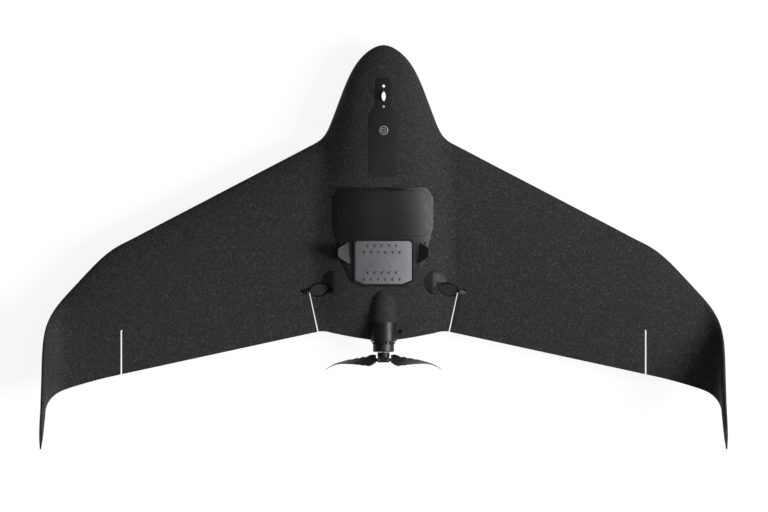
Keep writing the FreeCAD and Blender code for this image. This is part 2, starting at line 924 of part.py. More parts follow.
def make_servos():
    end = float(D.servo_end)
    servo = solid_of(servo_shape().fuse(axle(3.0, end, end + 1.0)))
    for name, side in SIDES.items():
        feature(f"{name}_servo", mirrored(servo, side))


# Servo cover: reach of the low dome to the body, outboard, ahead and aft of its ridge's middle
FAIRING_REACH = {"inboard": 18.2, "outboard": 22.6, "ahead": 18.4, "aft": 22.5}
FAIRING_SHARES = (-0.97, -0.8, -0.45, 0.0, 0.45, 0.8, 0.97)


def fairing_wire(share):
    """Cross-section of the dome at a share of its length: the body's skin raised to a soft ridge."""
    reach = FAIRING_REACH["ahead"] if share > 0 else FAIRING_REACH["aft"]
    y = float(D.fairing_mid_y) + share * reach
    wane = math.sqrt(1 - share**2)
    points = []
    for step in (-1.0, -0.7, -0.35, 0.0, 0.35, 0.7, 1.0):
        side = FAIRING_REACH["outboard"] if step > 0 else FAIRING_REACH["inboard"]
        x = float(D.fairing_ridge_x) + step * side * wane
        rise = float(D.fairing_tall) * wane**0.7 * (1 - abs(step) ** 1.25)
        points.append(Vector(x, y, top_z(x, y) + rise - 0.5))
    curve = Part.BSplineCurve()
    curve.interpolate(Points=points, Parameters=[i / (len(points) - 1) for i in range(len(points))])
    low = [point - UP * 5 for point in (points[-1], points[0])]
    return Part.Wire([curve.toShape(), Part.makePolygon([points[-1]] + low + [points[0]])])


def make_fairings():
    """Low domes over the servos, each with a rim round the drive's well."""
    dome = Part.makeLoft([fairing_wire(share) for share in FAIRING_SHARES], True, False)
    gap, wall = float(D.lens_gap), float(D.rim_thick)
    ring = lens_post(gap + wall, -6.0, 20.0).common(slab(60, D.root_x - 0.4, -120, -40, 40, 100))
    rim = ring.common(lifted(BODY, float(D.rim_tall))).cut(lifted(BODY, -3.0))
    dome = dome.cut(BODY).fuse(rim)
    dome = dome.cut(drive_well() + [axle(3.2, float(D.servo_end) - 1, -28.0)] + corner_cuts())
    for name, side in SIDES.items():
        feature(f"{name}_servo_fairing", mirrored(solid_of(dome), side))


# ---------------------------------------------------------------- deck, hatch and heat sink

DECK_RIGHT = (
    (72.0, 100.3),
    (83.5, 84.0),
    (83.5, 33.0),
    (75.0, 0.0),
    (70.0, -25.0),
    (58.0, -50.0),
    (50.0, -57.0),
    (33.0, -67.5),
)


def hatch_outline(grow=0.0):
    half = D.hatch_half + grow
    front, rear, corner = D.hatch_front_y + grow, D.hatch_rear_y - grow, D.hatch_corner
    right = [(half - corner, front), (half, front - corner), (half, rear + corner), (half - corner, rear)]
    return both_sides([(float(x), float(y)) for x, y in right])


def sink_place():
    """Middle of the heat sink's top face, tilted with the deck."""
    return Placement(Vector(0, D.sink_y, D.sink_z), Rotation(Vector(1, 0, 0), float(D.sink_tilt)))


def sink_outline(grow=0.0):
    half, front = D.sink_wide / 2 + grow, D.sink_long / 2 + grow
    right = [
        (half - D.sink_front_cut, front),
        (half, front - D.sink_front_cut),
        (half, D.sink_rear_long - front),
        (half - D.sink_rear_wide, -front),
    ]
    return both_sides([(float(x), float(y)) for x, y in right])


def sink_prism(grow, low, high):
    shape = prism(sink_outline(grow), low, high)
    shape.Placement = sink_place().multiply(shape.Placement)
    return shape


def hinge_axis_y():
    return float(D.hatch_front_y + D.hatch_hinge_ahead)


def hinge_axis_z():
    return top_z(0, hinge_axis_y()) + float(D.hatch_hinge_up)


def knuckle(start, end, radius):
    y, z = hinge_axis_y(), hinge_axis_z()
    return rod(radius, Vector(float(start), y, z), Vector(float(end), y, z))


def lid_knuckle():
    """The lid's middle knuckle with the arm that joins it to the lid."""
    half = float(D.hinge_knuckle)
    y, z = hinge_axis_y(), hinge_axis_z()
    arm = slab(-half, half, D.hatch_front_y - 2, y, z - D.hinge_barrel_r, z + 0.6)
    shape = arm.fuse(knuckle(-half, half, D.hinge_barrel_r))
    return shape.cut(knuckle(-half - 1, half + 1, D.hinge_pin_r + D.hinge_fit))


def magnet_spots():
    """Where each lid magnet stands: x, y and the skin's height there."""
    x, y = float(D.magnet_x), float(D.magnet_y)
    return [(side * x, y, top_z(x, y)) for side in SIDES.values()]


def make_hatch():
    lid = skin(hatch_outline(), D.skin_up, D.skin_down).fuse(lid_knuckle())
    for x, y, z in magnet_spots():
        boss = rod(D.magnet_r + 1.6, Vector(x, y, z - D.boss_deep), Vector(x, y, z + D.skin_up - 1.0))
        boss = boss.common(lifted(BODY, float(D.skin_up) - 0.5))
        floor = z - D.boss_deep
        seat = rod(D.magnet_r, Vector(x, y, floor - 1), Vector(x, y, floor + D.magnet_thick))
        lid = lid.fuse(boss).cut(seat)
    feature("battery_hatch", solid_of(lid))
    lid_magnets = []
    bay_magnets = []
    for x, y, z in magnet_spots():
        start = Vector(x, y, z - D.boss_deep)
        lid_magnets.append(drum("lid_magnet", D.magnet_r, D.magnet_thick, start))
        start = Vector(x, y, z - D.boss_deep - D.magnet_thick - 0.5)
        bay_magnets.append(drum("bay_magnet", D.magnet_r, D.magnet_thick, start))
    group("hatch_magnets", lid_magnets)
    group("bay_magnets", bay_magnets)
    half = D.hinge_half
    start = Vector(-half, hinge_axis_y(), hinge_axis_z())
    keep(drum("hatch_hinge_pin", D.hinge_pin_r, half * 2, start, Vector(1, 0, 0)), "hatch_hinge_pin")


def frame_knuckles():
    inner, outer = float(D.hinge_knuckle) + 0.3, float(D.hinge_half)
    y, z = hinge_axis_y(), hinge_axis_z()
    radius = D.hinge_barrel_r
    pieces = []
    for start, end in ((inner, outer), (-outer, -inner)):
        foot = slab(start, end, y - 0.6, y + radius, z - radius - 1.2, z)
        pieces += [knuckle(start, end, radius), foot]
    return pieces


def deck_screw_spots():
    """Countersunk screws at the back of the deck frame: x and y."""
    right = [(70.5, 6.0), (60.0, -33.0)]
    return [(side * x, y) for side in SIDES.values() for x, y in right]


def make_deck():
    outline = both_sides(DECK_RIGHT)
    frame = skin(outline, D.skin_up, D.skin_down)
    rim = sink_prism(3.0, -7.0, -0.6).cut(lifted(BODY, -float(D.skin_down)))
    frame = frame.fuse(rim)
    well = float(D.hinge_knuckle) + 0.3
    y, z = hinge_axis_y(), hinge_axis_z()
    notch = slab(-well, well, D.hatch_front_y - 1, y + D.hinge_barrel_r + 0.5, z - 12, z + 6)
    frame = frame.cut([prism(hatch_outline(D.hatch_gap), 0, 140), sink_prism(0.3, -30, 30), notch])
    frame = frame.fuse(frame_knuckles())
    frame = frame.cut(knuckle(-40, 40, D.hinge_pin_r))
    screws = []
    for x, y in deck_screw_spots():
        top = top_z(x, y) + float(D.skin_up)
        frame = frame.cut(rod(2.3, Vector(x, y, top - 1.4), Vector(x, y, top + 3)))
        screws.append(drum("deck_screw", D.screw_head_r, D.screw_head_tall, Vector(x, y, top - 1.4)))
    feature("deck_frame", solid_of(frame))
    group("deck_screws", screws)


def make_heat_sink():
    """Chamfered aluminium plate with four rows of round studs."""
    body = new_body("heat_sink_plate")
    sketch = sketch_on(body)
    draw_outline(sketch, sink_outline())
    base = pad(body, sketch, D.sink_thick)
    base.Reversed = True
    pitch = D.sink_pitch
    rows = ((D.sink_row_front, 5), (D.sink_row_front - D.sink_row_step, 6))
    rows += ((D.sink_row_rear + D.sink_row_step, 5), (D.sink_row_rear, 6))
    studs = sketch_on(body)
    for y, count in rows:
        for place in range(count):
            draw_circle(studs, pitch * (place - (count - 1) / 2), y, D.sink_stud_r)
    pad(body, studs, D.sink_stud_tall)
    body.Placement = sink_place()


# ---------------------------------------------------------------- power and electronics


def make_battery():
    body = new_body("battery_pack")
    sketch = sketch_on(body)
    draw_outline(sketch, rectangle(D.battery_wide, D.battery_long))
    pad(body, sketch, D.battery_tall)
    round_edges(body, D.battery_round, upright)
    body.Placement = Placement(Vector(0, D.battery_y, D.battery_z), Rotation())


def make_electronics():
    """The autopilot board with its larger chips, and the motor's speed controller."""
    body = new_body("main_board")
    outline = sketch_on(body)
    draw_outline(outline, rectangle(D.board_wide, D.board_long))
    pad(body, outline, D.board_thick)
    chips = sketch_on(body)
    for x, y, wide, deep in ((-24, 8, 14, 14), (26, 12, 10, 10), (24, -10, 12, 8), (-26, -14, 8, 12)):
        corners = [(x + a, y + b) for a, b in rectangle(wide, deep)]
        draw_outline(chips, corners)
    pad(body, chips, D.board_thick + 2.4)
    body.Placement = Placement(Vector(0, D.board_y, D.board_z), Rotation())
    controller = Vector(0, D.esc_y, D.esc_z)
    keep(block("speed_controller", D.esc_wide, D.esc_long, D.esc_tall, controller), "speed_controller")


def make_thermal_block():
    """Aluminium block that carries heat from the board up to the plate."""
    tower = prism(rectangle(22.0, 22.0), 0, 60)
    tower.translate(Vector(0, D.board_y + 2, D.board_z + D.board_thick))
    tower = tower.common(sink_prism(0.0, -60, -float(D.sink_thick)))
    feature("thermal_block", solid_of(tower))


def make_motor_leads():
    """Three wires from the speed controller to the motor."""
    start = float(D.esc_y - D.esc_long / 2)
    end = float(D.mount_front_y)
    wires = []
    for x in (-5.0, 0.0, 5.0):
        wires.append(drum("lead", D.lead_r, start - end, Vector(x, start, D.esc_z), AFT))
    group("motor_leads", wires)


def make_antennas():
    """Flat aerials that lean outwards beside the heat sink."""
    for name, side in SIDES.items():
        lean = Rotation(Vector(0, 1, 0), float(D.antenna_lean))
        outline = [(-28.0, -3.0), (8.3, -3.0), (8.3, 1.5), (0.2, 21.6), (-3.4, 27.0)]
        outline += [(-15.4, 27.0), (-19.0, 21.6), (-28.0, 1.5)]
        corners = [Vector(0, y, z) for y, z in outline]
        blade = Part.Face(Part.makePolygon(corners + corners[:1])).extrude(Vector(D.antenna_thick, 0, 0))
        blade = blade.makeFillet(0.7, blade.Edges)
        base = Vector(D.antenna_x, 0, top_z(D.antenna_x, -9.0) + D.skin_up)
        blade.Placement = Placement(base, lean)
        foot = over_skin([(56.8, 7.6), (63.0, 7.6), (63.0, -27.2), (56.8, -27.2)], -float(D.skin_up))
        foot = foot.common(lifted(BODY, float(D.skin_up) + 1.6))
        shape = blade.cut(lifted(BODY, float(D.skin_up))).fuse(foot)
        feature(f"{name}_antenna", mirrored(solid_of(shape), side))


# ---------------------------------------------------------------- nose panel, button and beacon


def panel_outline(grow=0.0):
    half, tab = D.panel_half + grow, D.panel_tab_half + grow
    front, neck, shoulder = D.panel_tab_y + grow, D.panel_neck_y + grow, D.panel_front_y + grow
    rear, corner = D.panel_rear_y - grow, D.panel_corner + grow
    right = [(tab - 3, front), (tab, front - 3), (tab, neck), (half, shoulder)]
    for step in range(7):
        turn = math.radians(15 * step)
        right.append((half - corner * (1 - math.cos(turn)), rear + corner * (1 - math.sin(turn))))
    return both_sides([(float(x), float(y)) for x, y in right])


def oval(half_wide, half_long, centre, tall):
    """An upright oval post: a slot shape with round ends."""
    reach = float(half_long - half_wide)
    middle = slab(-half_wide, half_wide, -reach, reach, 0, tall)
    ends = [Part.makeCylinder(half_wide, tall, Vector(0, y, 0)) for y in (-reach, reach)]
    post = middle.fuse(ends).removeSplitter()
    post.translate(centre)
    return post


def elliptic_post(half_wide, half_long, centre, tall):
    """An upright post with an elliptical outline, longer fore and aft."""
    curve = Part.Ellipse(Vector(), float(half_long), float(half_wide)).toShape()
    post = Part.Face(Part.Wire(curve)).extrude(UP * float(tall))
    post.Placement = Placement(centre, Rotation(UP, 90))
    return post


def make_nose_panel():
    panel = skin(panel_outline(), D.panel_up, D.panel_down)
    z = top_z(0, D.button_y)
    bore = rod(D.button_ring_r, Vector(0, D.button_y, z - 12), Vector(0, D.button_y, z + 12))
    feature("nose_panel", solid_of(panel.cut(bore)))


def button_height():
    """Level of the bezel's top face."""
    return top_z(0, D.button_y) + float(D.panel_up) + 0.9


def make_power_button():
    z = button_height()
    along = Rotation(Vector(1, 0, 0), UP)
    place = Placement(Vector(0, D.button_y, z), along)
    ring = D.button_ring_r
    bore = D.button_cap_r + D.button_fit
    bezel = [(0.0, bore), (0.0, ring - 1.0), (-1.0, ring), (-7.5, ring), (-7.5, bore)]
    turned("power_button_bezel", bezel, place)
    cap = D.button_cap_r
    push = [
        (-6.0, 0.0),
        (-6.0, cap),
        (-0.5, cap),
        (0.0, cap - 0.5),
        (-0.4, D.button_mark_out + 0.2),
        (0.1, D.button_mark_out),
        (0.1, D.button_mark_in),
        (-0.5, D.button_mark_in - 0.3),
        (-0.5, 0.0),
    ]
    turned("power_button", push, place)


def make_beacon():
    """A light on a low pedestal, between two screws."""
    y = float(D.mast_y)
    z = top_z(0, y) + float(D.panel_up)
    centre = Vector(0, y, z - 4)
    pedestal = elliptic_post(D.mast_half_wide + 1.6, D.mast_half_long + 1.8, centre, D.mast_tall)
    pedestal = pedestal.cut(lifted(BODY, float(D.panel_up)))
    seat = Vector(0, y, z + D.mast_tall - 4.0)
    lens = elliptic_post(D.mast_half_wide, D.mast_half_long, seat, 4.0)
    lens = lens.makeFillet(1.0, [edge for edge in lens.Edges if edge.BoundBox.ZMin > z + D.mast_tall - 0.1])
    feature("beacon_pedestal", solid_of(pedestal))
    feature("beacon_lens", lens)
    screws = []
    for shift in (D.mast_screw_gap, -D.mast_screw_gap):
        base = Vector(0, y + shift, top_z(0, y + shift - D.mast_screw_r) + float(D.panel_up))
        screws.append(drum("beacon_screw", D.mast_screw_r, 1.6, base))
    group("beacon_screws", screws)


# ---------------------------------------------------------------- motor and propeller


def motor_place(y):
    """Local X points aft along the motor's axis, starting at y."""
    return Placement(Vector(0, y, D.motor_z), Rotation(Vector(1, 0, 0), AFT))


def make_shroud():
    """Short tube round the front of the motor, with an ear on each side for a screw."""
    long = D.shroud_front_y - D.shroud_rear_y
    outer, wall = D.shroud_r, D.shroud_wall
    front = Vector(0, D.shroud_front_y, D.motor_z)
    tube = Part.makeCylinder(outer, long, front, AFT)
    ears = slab(-33, 33, D.ear_y - 7, D.ear_y + 7, D.ear_z, D.ear_z + D.ear_tall)
    tube = tube.fuse(ears)
    tube = tube.cut(Part.makeCylinder(outer - wall, long + 2, front + Vector(0, 1, 0), AFT))
    tube = tube.makeFillet(0.9, [e for e in tube.Edges if abs(e.BoundBox.YMax - D.shroud_rear_y) < 0.01])
    holes = [rod(1.5, Vector(x, D.ear_y, D.ear_z - 2), Vector(x, D.ear_y, D.ear_z + 6)) for x in (-28, 28)]
    feature("motor_shroud", solid_of(tube.cut(holes)))
    screws = []
    for x in (-28.0, 28.0):
        head = drum("ear_screw_head", 2.7, 2.0, Vector(x, D.ear_y, D.ear_z + D.ear_tall))
        shank = drum("ear_screw_shank", 1.5, 9.0, Vector(x, D.ear_y, D.ear_z + D.ear_tall - 9.0))
        screw = doc.addObject("Part::MultiFuse", "ear_screw")
        screw.Shapes = [head, shank]
        screws.append(screw)
    group("motor_screws", screws)


def make_motor():
    mount = D.mount_front_y
    radius = D.shroud_r - D.shroud_wall - 0.05
    disc = [(0.0, 0.0), (0.0, radius), (3.0, radius), (3.0, 6.0), (7.0, 6.0), (7.0, 0.0)]
    turned("motor_mount", disc, motor_place(mount))
    stator_long = D.bell_front_y - D.bell_rear_y - 6.0
    bore = D.shaft_r + 0.3
    start = mount - 7.0
    core = [(0.0, bore), (0.0, 7.0), (4.0, 7.0), (4.0, D.stator_r)]
    core += [(stator_long, D.stator_r), (stator_long, bore)]
    turned("motor_stator", core, motor_place(start))
    long = D.bell_front_y - D.bell_rear_y
    outer, slim = D.bell_r, D.bell_r - D.bell_step
    inner = slim - D.bell_wall
    shell = [
        (0.0, inner),
        (0.0, slim),
        (15.5, slim),
        (17.1, outer),
        (long - 1.6, outer),
        (long, outer - 1.6),
        (long, D.shaft_r),
        (long - 2.4, D.shaft_r),
        (long - 2.4, inner),
    ]
    turned("motor_bell", shell, motor_place(D.bell_front_y))
    ring = [(1.0, inner - D.magnet_ring), (1.0, inner), (19.0, inner), (19.0, inner - D.magnet_ring)]
    turned("magnet_ring", ring, motor_place(D.bell_front_y))
    shaft_long = start - D.hub_front_y + 5.9
    shaft = drum("motor_shaft", D.shaft_r, shaft_long, Vector(0, start - 0.5, D.motor_z), AFT)
    keep(shaft, "motor_shaft")


def make_hub():
    """Collar on the shaft with two cheek plates that hold the folding blades."""
    front, rear = D.hub_front_y, D.blade_y - D.lug_r - 1.4
    collar = rod(D.hub_r, Vector(0, front, D.motor_z), Vector(0, D.blade_y + D.lug_r + 0.6, D.motor_z))
    half = float(D.blade_pin_x + D.lug_r)
    cheek = oval(D.lug_r, half, Vector(0, 0, 0), D.cheek_thick)
    cheek.rotate(Vector(0, 0, 0), UP, 90)
    low = D.lug_tall / 2 + 0.3
    pieces = [collar]
    for z in (D.motor_z + low, D.motor_z - low - D.cheek_thick):
        piece = cheek.copy()
        piece.translate(Vector(0, D.blade_y, z))
        pieces.append(piece)
        pieces.append(slab(-D.hub_r + 1, D.hub_r - 1, D.blade_y, front - 2, z, z + D.cheek_thick))
    spine = slab(-1.4, 1.4, rear + 1.5, front - 2, D.motor_z - low - 1, D.motor_z + low + 1)
    hub = pieces[0].fuse(pieces[1:] + [spine])
    hub = hub.cut(rod(D.shaft_r, Vector(0, front + 1, D.motor_z), Vector(0, front - 6.5, D.motor_z)))
    pins = []
    for side in SIDES.values():
        x = side * D.blade_pin_x
        base = Vector(x, D.blade_y, D.motor_z - low - D.cheek_thick - 0.5)
        length = 2 * (low + D.cheek_thick) + 1.0
        pins.append(drum("blade_pin", D.blade_pin_r, length, base))
        hub = hub.cut(rod(D.blade_pin_r, base - Vector(0, 0, 2), base + Vector(0, 0, length + 2)))
    feature("prop_hub", solid_of(hub))
    group("blade_pins", pins)


# Propeller blade: x, chord centre y, chord, pitch angle, thickness
BLADE_STATIONS = (
    (12.5, -188.6, 13.4, 80.0, 5.4),
    (16.0, -189.3, 17.2, 66.0, 3.8),
    (25.6, -192.1, 21.4, 55.0, 2.8),
    (34.0, -192.4, 22.0, 43.0, 2.4),
    (43.5, -192.8, 21.5, 32.5, 2.0),
    (55.0, -193.4, 20.0, 24.5, 1.8),
    (66.0, -194.4, 17.5, 17.6, 1.5),
    (77.0, -196.4, 14.0, 11.5, 1.3),
    (88.0, -200.6, 9.5, 9.0, 1.0),
    (95.0, -204.8, 5.5, 8.0, 0.8),
    (98.8, -207.8, 2.4, 8.0, 0.6),
)


def blade_wire(x, y, chord, pitch, thick):
    """A slim lens-shaped blade section, turned about the blade's length by its pitch."""
    turn = math.radians(pitch)
    along = Vector(0, math.sin(turn), math.cos(turn))
    across = Vector(0, math.cos(turn), -math.sin(turn))
    centre = Vector(x, y, D.motor_z)
    points = []
    for step in range(12):
        angle = 2 * math.pi * step / 12
        points.append(
            centre + along * (chord / 2 * math.cos(angle)) + across * (thick / 2 * math.sin(angle))
        )
    curve = Part.BSplineCurve()
    curve.interpolate(Points=points, PeriodicFlag=True)
    return Part.Wire(curve.toShape())


def make_blades():
    blade = Part.makeLoft([blade_wire(*station) for station in BLADE_STATIONS], True, False)
    pivot = Vector(D.blade_pin_x, D.blade_y, D.motor_z)
    half = float(D.lug_tall / 2)
    lug = rod(D.lug_r, pivot - UP * half, pivot + UP * half)
    neck = slab(pivot.x, 14.5, pivot.y - 2.6, pivot.y + 3.0, pivot.z - 2.6, pivot.z + 2.6)
    neck = neck.cut(rod(1.0, pivot - UP * 9, pivot + UP * 9))
    shape = blade.fuse([lug, neck])
    shape = solid_of(shape.cut(rod(D.blade_pin_r + D.pin_fit, pivot - UP * 20, pivot + UP * 20)))
    feature("right_prop_blade", shape)
    other = shape.copy()
    other.rotate(Vector(0, 0, D.motor_z), Vector(0, 1, 0), 180)
    feature("left_prop_blade", other)


# ---------------------------------------------------------------- camera in the belly


def camera_place(z, x=0.0):
    """Local X points up, starting over the camera's centre at the height z."""
    return Placement(Vector(x, D.camera_y, z), Rotation(Vector(1, 0, 0), UP))


def make_gimbal():
    top = D.camera_bay_top
    plate_low = top - 3.0
    stack = [(0.0, 0.0), (0.0, 11.0), (4.0, 11.0), (4.0, 30.0), (7.0, 30.0), (7.0, 0.0)]
    turned("gimbal_plate", stack, camera_place(plate_low - 4.0))
    yoke_top = plate_low - 4.0 - D.turn_gap
    outer, arm = D.yoke_wide / 2, D.yoke_arm
    z = D.camera_z
    bridge = slab(-outer, outer, -10, 10, yoke_top - 4.0, yoke_top)
    arms = [slab(side * (outer - arm / 2) - arm / 2, side * (outer - arm / 2) + arm / 2, -9, 9, z, yoke_top)
            for side in SIDES.values()]
    pads = [Part.makeCylinder(9.0, arm, Vector(x, 0, z), Vector(1, 0, 0)) for x in (-outer, outer - arm)]
    yoke = bridge.fuse(arms + pads).removeSplitter()
    start = Vector(-outer - 2, 0, z)
    bore = Part.makeCylinder(D.trunnion_r + D.pin_fit, 2 * outer + 4, start, Vector(1, 0, 0))
    yoke = yoke.cut(bore)
    yoke.translate(Vector(0, D.camera_y, 0))
    feature("gimbal_yoke", solid_of(yoke))


def make_camera():
    """A ball with flat cheeks on two stub axles, its lens looking straight down."""
    y, z, radius = D.camera_y, D.camera_z, D.camera_r
    centre = Vector(0, y, z)
    cheek = float(D.yoke_wide / 2 - D.yoke_arm - 0.5)
    ball = Part.makeSphere(radius, centre)
    ball = ball.common(slab(-cheek, cheek, y - 40, y + 40, z - 40, z + 40))
    axle = rod(D.trunnion_r, centre - Vector(D.yoke_wide / 2, 0, 0), centre + Vector(D.yoke_wide / 2, 0, 0))
    ball = ball.fuse(axle)
    ball = ball.cut(rod(D.lens_r, centre - UP * 14, centre - UP * 40))
    feature("camera_housing", solid_of(ball))
    lens = D.lens_r
    barrel = [
        (14.0, 0.0),
        (14.0, lens),
        (28.0, lens),
        (28.0, lens - 2.0),
        (25.0, lens - 4.0),
        (22.0, lens - 4.0),
        (22.0, 0.0),
    ]
    down = Placement(centre, Rotation(Vector(1, 0, 0), -UP))
    turned("lens_barrel", barrel, down)
    turned("lens_glass", [(22.0, 0.0), (22.0, lens - 4.0), (24.0, lens - 4.0), (25.5, 0.0)], down)


# ---------------------------------------------------------------- centre body foam


def make_skid():
    body = new_body("belly_skid")
    sketch = sketch_on(body)
    draw_outline(sketch, rectangle(D.skid_half * 2, D.skid_front_y - D.skid_rear_y))
    middle = (D.skid_front_y + D.skid_rear_y) / 2
    for x, y in skid_screw_spots():
        draw_circle(sketch, x, y - middle, D.skid_screw_r + 0.1)
    pad(body, sketch, D.skid_thick)
    round_edges(body, 10.0, lambda edge: upright(edge) and abs(edge.BoundBox.XMax) > D.skid_half - 1)
    body.Placement = Placement(Vector(0, middle, 0), Rotation())
    screws = [
        drum("skid_screw", D.skid_screw_r, D.skid_thick - 0.3, Vector(x, y, 0.3))
        for x, y in skid_screw_spots()
    ]
    group("skid_screws", screws)


def skid_screw_spots():
    inset = 12.0
    ys = (D.skid_front_y - inset, D.skid_rear_y + inset)
    return [(side * (D.skid_half - inset), y) for side in SIDES.values() for y in ys]


def hump():
    """Foam fairing that grows out of the back and ends as the motor's round nacelle."""
    rings = ((-62.0, 14.0), (-74.0, 19.0), (-82.0, 21.8), (-98.0, 23.0), (-112.0, 22.8), (-127.0, 22.3))
    wires = []
    for y, radius in rings:
        circle = Part.makeCircle(radius, Vector(0, y, D.motor_z), Vector(0, 1, 0))
        wires.append(Part.Wire(circle))
    return Part.makeLoft(wires, True, False)


def corner_cuts():
    """The slots beside the elevons, cut out of the body's rear corners."""
    front, rear = float(D.slot_front_y), -200.0
    outline = [(body_side_x(front), front), (140.0, front), (140.0, rear), (body_side_x(rear), rear)]
    cut = prism(outline, 0, 120)
    return [mirrored(cut, side) for side in SIDES.values()]


def spar_bores():
    ends = ((D.spar_r, D.spar_y, D.spar_z), (D.pin_spar_r, D.pin_spar_y, D.pin_spar_z))
    return [rod(r + D.body_fit, Vector(-140, y, z), Vector(140, y, z)) for r, y, z in ends]


def body_rib_pockets():
    inner = float(D.root_x - D.joint_gap / 2 - D.rib_thick)
    half_long, half_tall = D.rib_long / 2, D.rib_tall / 2
    y, z = D.rib_y, D.rib_z
    pocket = slab(inner, inner + 20, y - half_long, y + half_long, z - half_tall, z + half_tall)
    return [mirrored(pocket, side) for side in SIDES.values()]


def camera_bay():
    """A round well, open at the belly."""
    start = Vector(0, D.camera_y, -20)
    return rod(D.camera_bay_r, start, Vector(0, D.camera_y, D.camera_bay_top))


def battery_bay():
    half = D.battery_wide / 2 + D.bay_clear
    return slab(-half, half, D.bay_rear_y, D.bay_front_y, D.battery_z, 130)


def electronics_bay():
    return slab(-42, 42, D.ebay_rear_y, D.ebay_front_y, D.ebay_floor_z, 130)


def motor_bore():
    front = Vector(0, D.shroud_front_y, D.motor_z)
    bore = rod(D.shroud_r, front, Vector(0, -200, D.motor_z))
    half = D.lead_r + 5.6
    channel = slab(-half, half, D.mount_front_y, D.ebay_rear_y + 1, D.esc_z - 3, D.esc_z + 3)
    ears = slab(-33, 33, D.ear_y - 7, D.ear_y + 7, D.ear_z, D.ear_z + D.ear_tall)
    wells = [rod(3.5, Vector(x, D.ear_y, D.ear_z), Vector(x, D.ear_y, 120)) for x in (-28, 28)]
    roots = [rod(1.5, Vector(x, D.ear_y, D.ear_z - 6.5), Vector(x, D.ear_y, 50)) for x in (-28, 28)]
    return [bore, channel, ears] + wells + roots


def deck_seat():
    """Recesses in the foam under the deck, hatch, heat sink and lid hinge."""
    y, z = hinge_axis_y(), hinge_axis_z()
    well = slab(-30.5, 30.5, D.hatch_front_y - 3, y + D.hinge_barrel_r + 0.6, z - 5.6, z + 20)
    cuts = [over_skin(both_sides(DECK_RIGHT), D.skin_down)]
    cuts.append(over_skin(hatch_outline(), D.skin_down + 0.4))
    cuts.append(sink_prism(3.0, -7.0, 30).cut(lifted(BODY, -float(D.skin_down))))
    cuts.append(sink_prism(0.3, -float(D.sink_thick), 30))
    cuts.append(well)
    for x, y, z in magnet_spots():
        floor = z - D.boss_deep - D.magnet_thick - 0.5
        cuts.append(rod(D.magnet_r, Vector(x, y, floor), Vector(x, y, z + 20)))
        cuts.append(rod(D.magnet_r + 2.2, Vector(x, y, z - D.boss_deep - 0.5), Vector(x, y, z + 20)))
    return cuts


def nose_seat():
    z = top_z(0, D.button_y)
    bore = rod(D.button_ring_r, Vector(0, D.button_y, z - 9.5), Vector(0, D.button_y, z + 20))
    return [over_skin(panel_outline(), D.panel_down), bore]


def servo_cuts():
    """Pocket, shaft hole, drive well and the seat of the well's rim."""
    gap, wall = float(D.lens_gap), float(D.rim_thick)
    cuts = [servo_shape(0.2, 40.0), axle(3.4, float(D.servo_end) - 1, -30.0)] + drive_well()
    cuts.append(lens_post(gap + wall, -6.0, 20.0).cut(lifted(BODY, -3.0)))
    return [mirrored(cut, side) for cut in cuts for side in SIDES.values()]


def make_foam():
    """The moulded foam body, in an upper and a lower half glued at the split."""
    side = float(D.root_x - D.joint_gap / 2)
    shell = BODY.common(slab(-side, side, -200, 400, D.belly_z, 200)).fuse(hump())
    middle = (D.skid_front_y + D.skid_rear_y) / 2
    skid_seat = prism(rectangle(D.skid_half * 2, D.skid_front_y - D.skid_rear_y), 0, D.skid_thick)
    skid_seat.translate(Vector(0, middle, 0))
    skid_seat = skid_seat.makeFillet(10.0, [edge for edge in skid_seat.Edges if upright(edge)])
    cuts = corner_cuts() + spar_bores() + body_rib_pockets()
    cuts += [camera_bay(), battery_bay(), electronics_bay()] + motor_bore()
    low = shell.common(slab(-140, 140, -200, 400, 0, D.split_z)).cut(cuts + [skid_seat])
    high = shell.common(slab(-140, 140, -200, 400, D.split_z, 200))
    high = high.cut(cuts + deck_seat() + nose_seat() + servo_cuts())
    feature("fuselage_upper_foam", solid_of(high))
    feature("fuselage_lower_foam", solid_of(low))


# ---------------------------------------------------------------- build, check, write


def build():
    for make in (
        make_foam,
        make_wings,
        make_ribs,
        make_spars,
        make_drives,
        make_servos,
        make_fairings,
        make_deck,
        make_hatch,
        make_heat_sink,
        make_battery,
        make_electronics,
        make_thermal_block,
        make_motor_leads,
        make_antennas,
        make_nose_panel,
        make_power_button,
        make_beacon,
        make_shroud,
        make_motor,
        make_hub,
        make_blades,
        make_gimbal,
        make_camera,
        make_skid,
    ):
        make()
    doc.recompute()


def check():
    """Stops before writing when any object failed to build."""
    failed = [item.Name for item in doc.Objects if {"Invalid", "Error"} & set(item.State)]
    failed += [item.Label for item in PARTS if item.Shape.isNull() or not item.Shape.isValid()]
    if failed:
        raise RuntimeError(f"these objects did not build: {failed}")


def write():
    os.makedirs("parts", exist_ok=True)
    for item in PARTS:
        item.Shape.exportStep(f"parts/{item.Label}.step")
    print(len(PARTS), "pieces written")


build()
check()
write()
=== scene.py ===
"""Survey flying wing: finishes, fine detail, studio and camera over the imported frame."""

import json
import math
import random

import bmesh
import bpy
from mathutils import Matrix, Vector


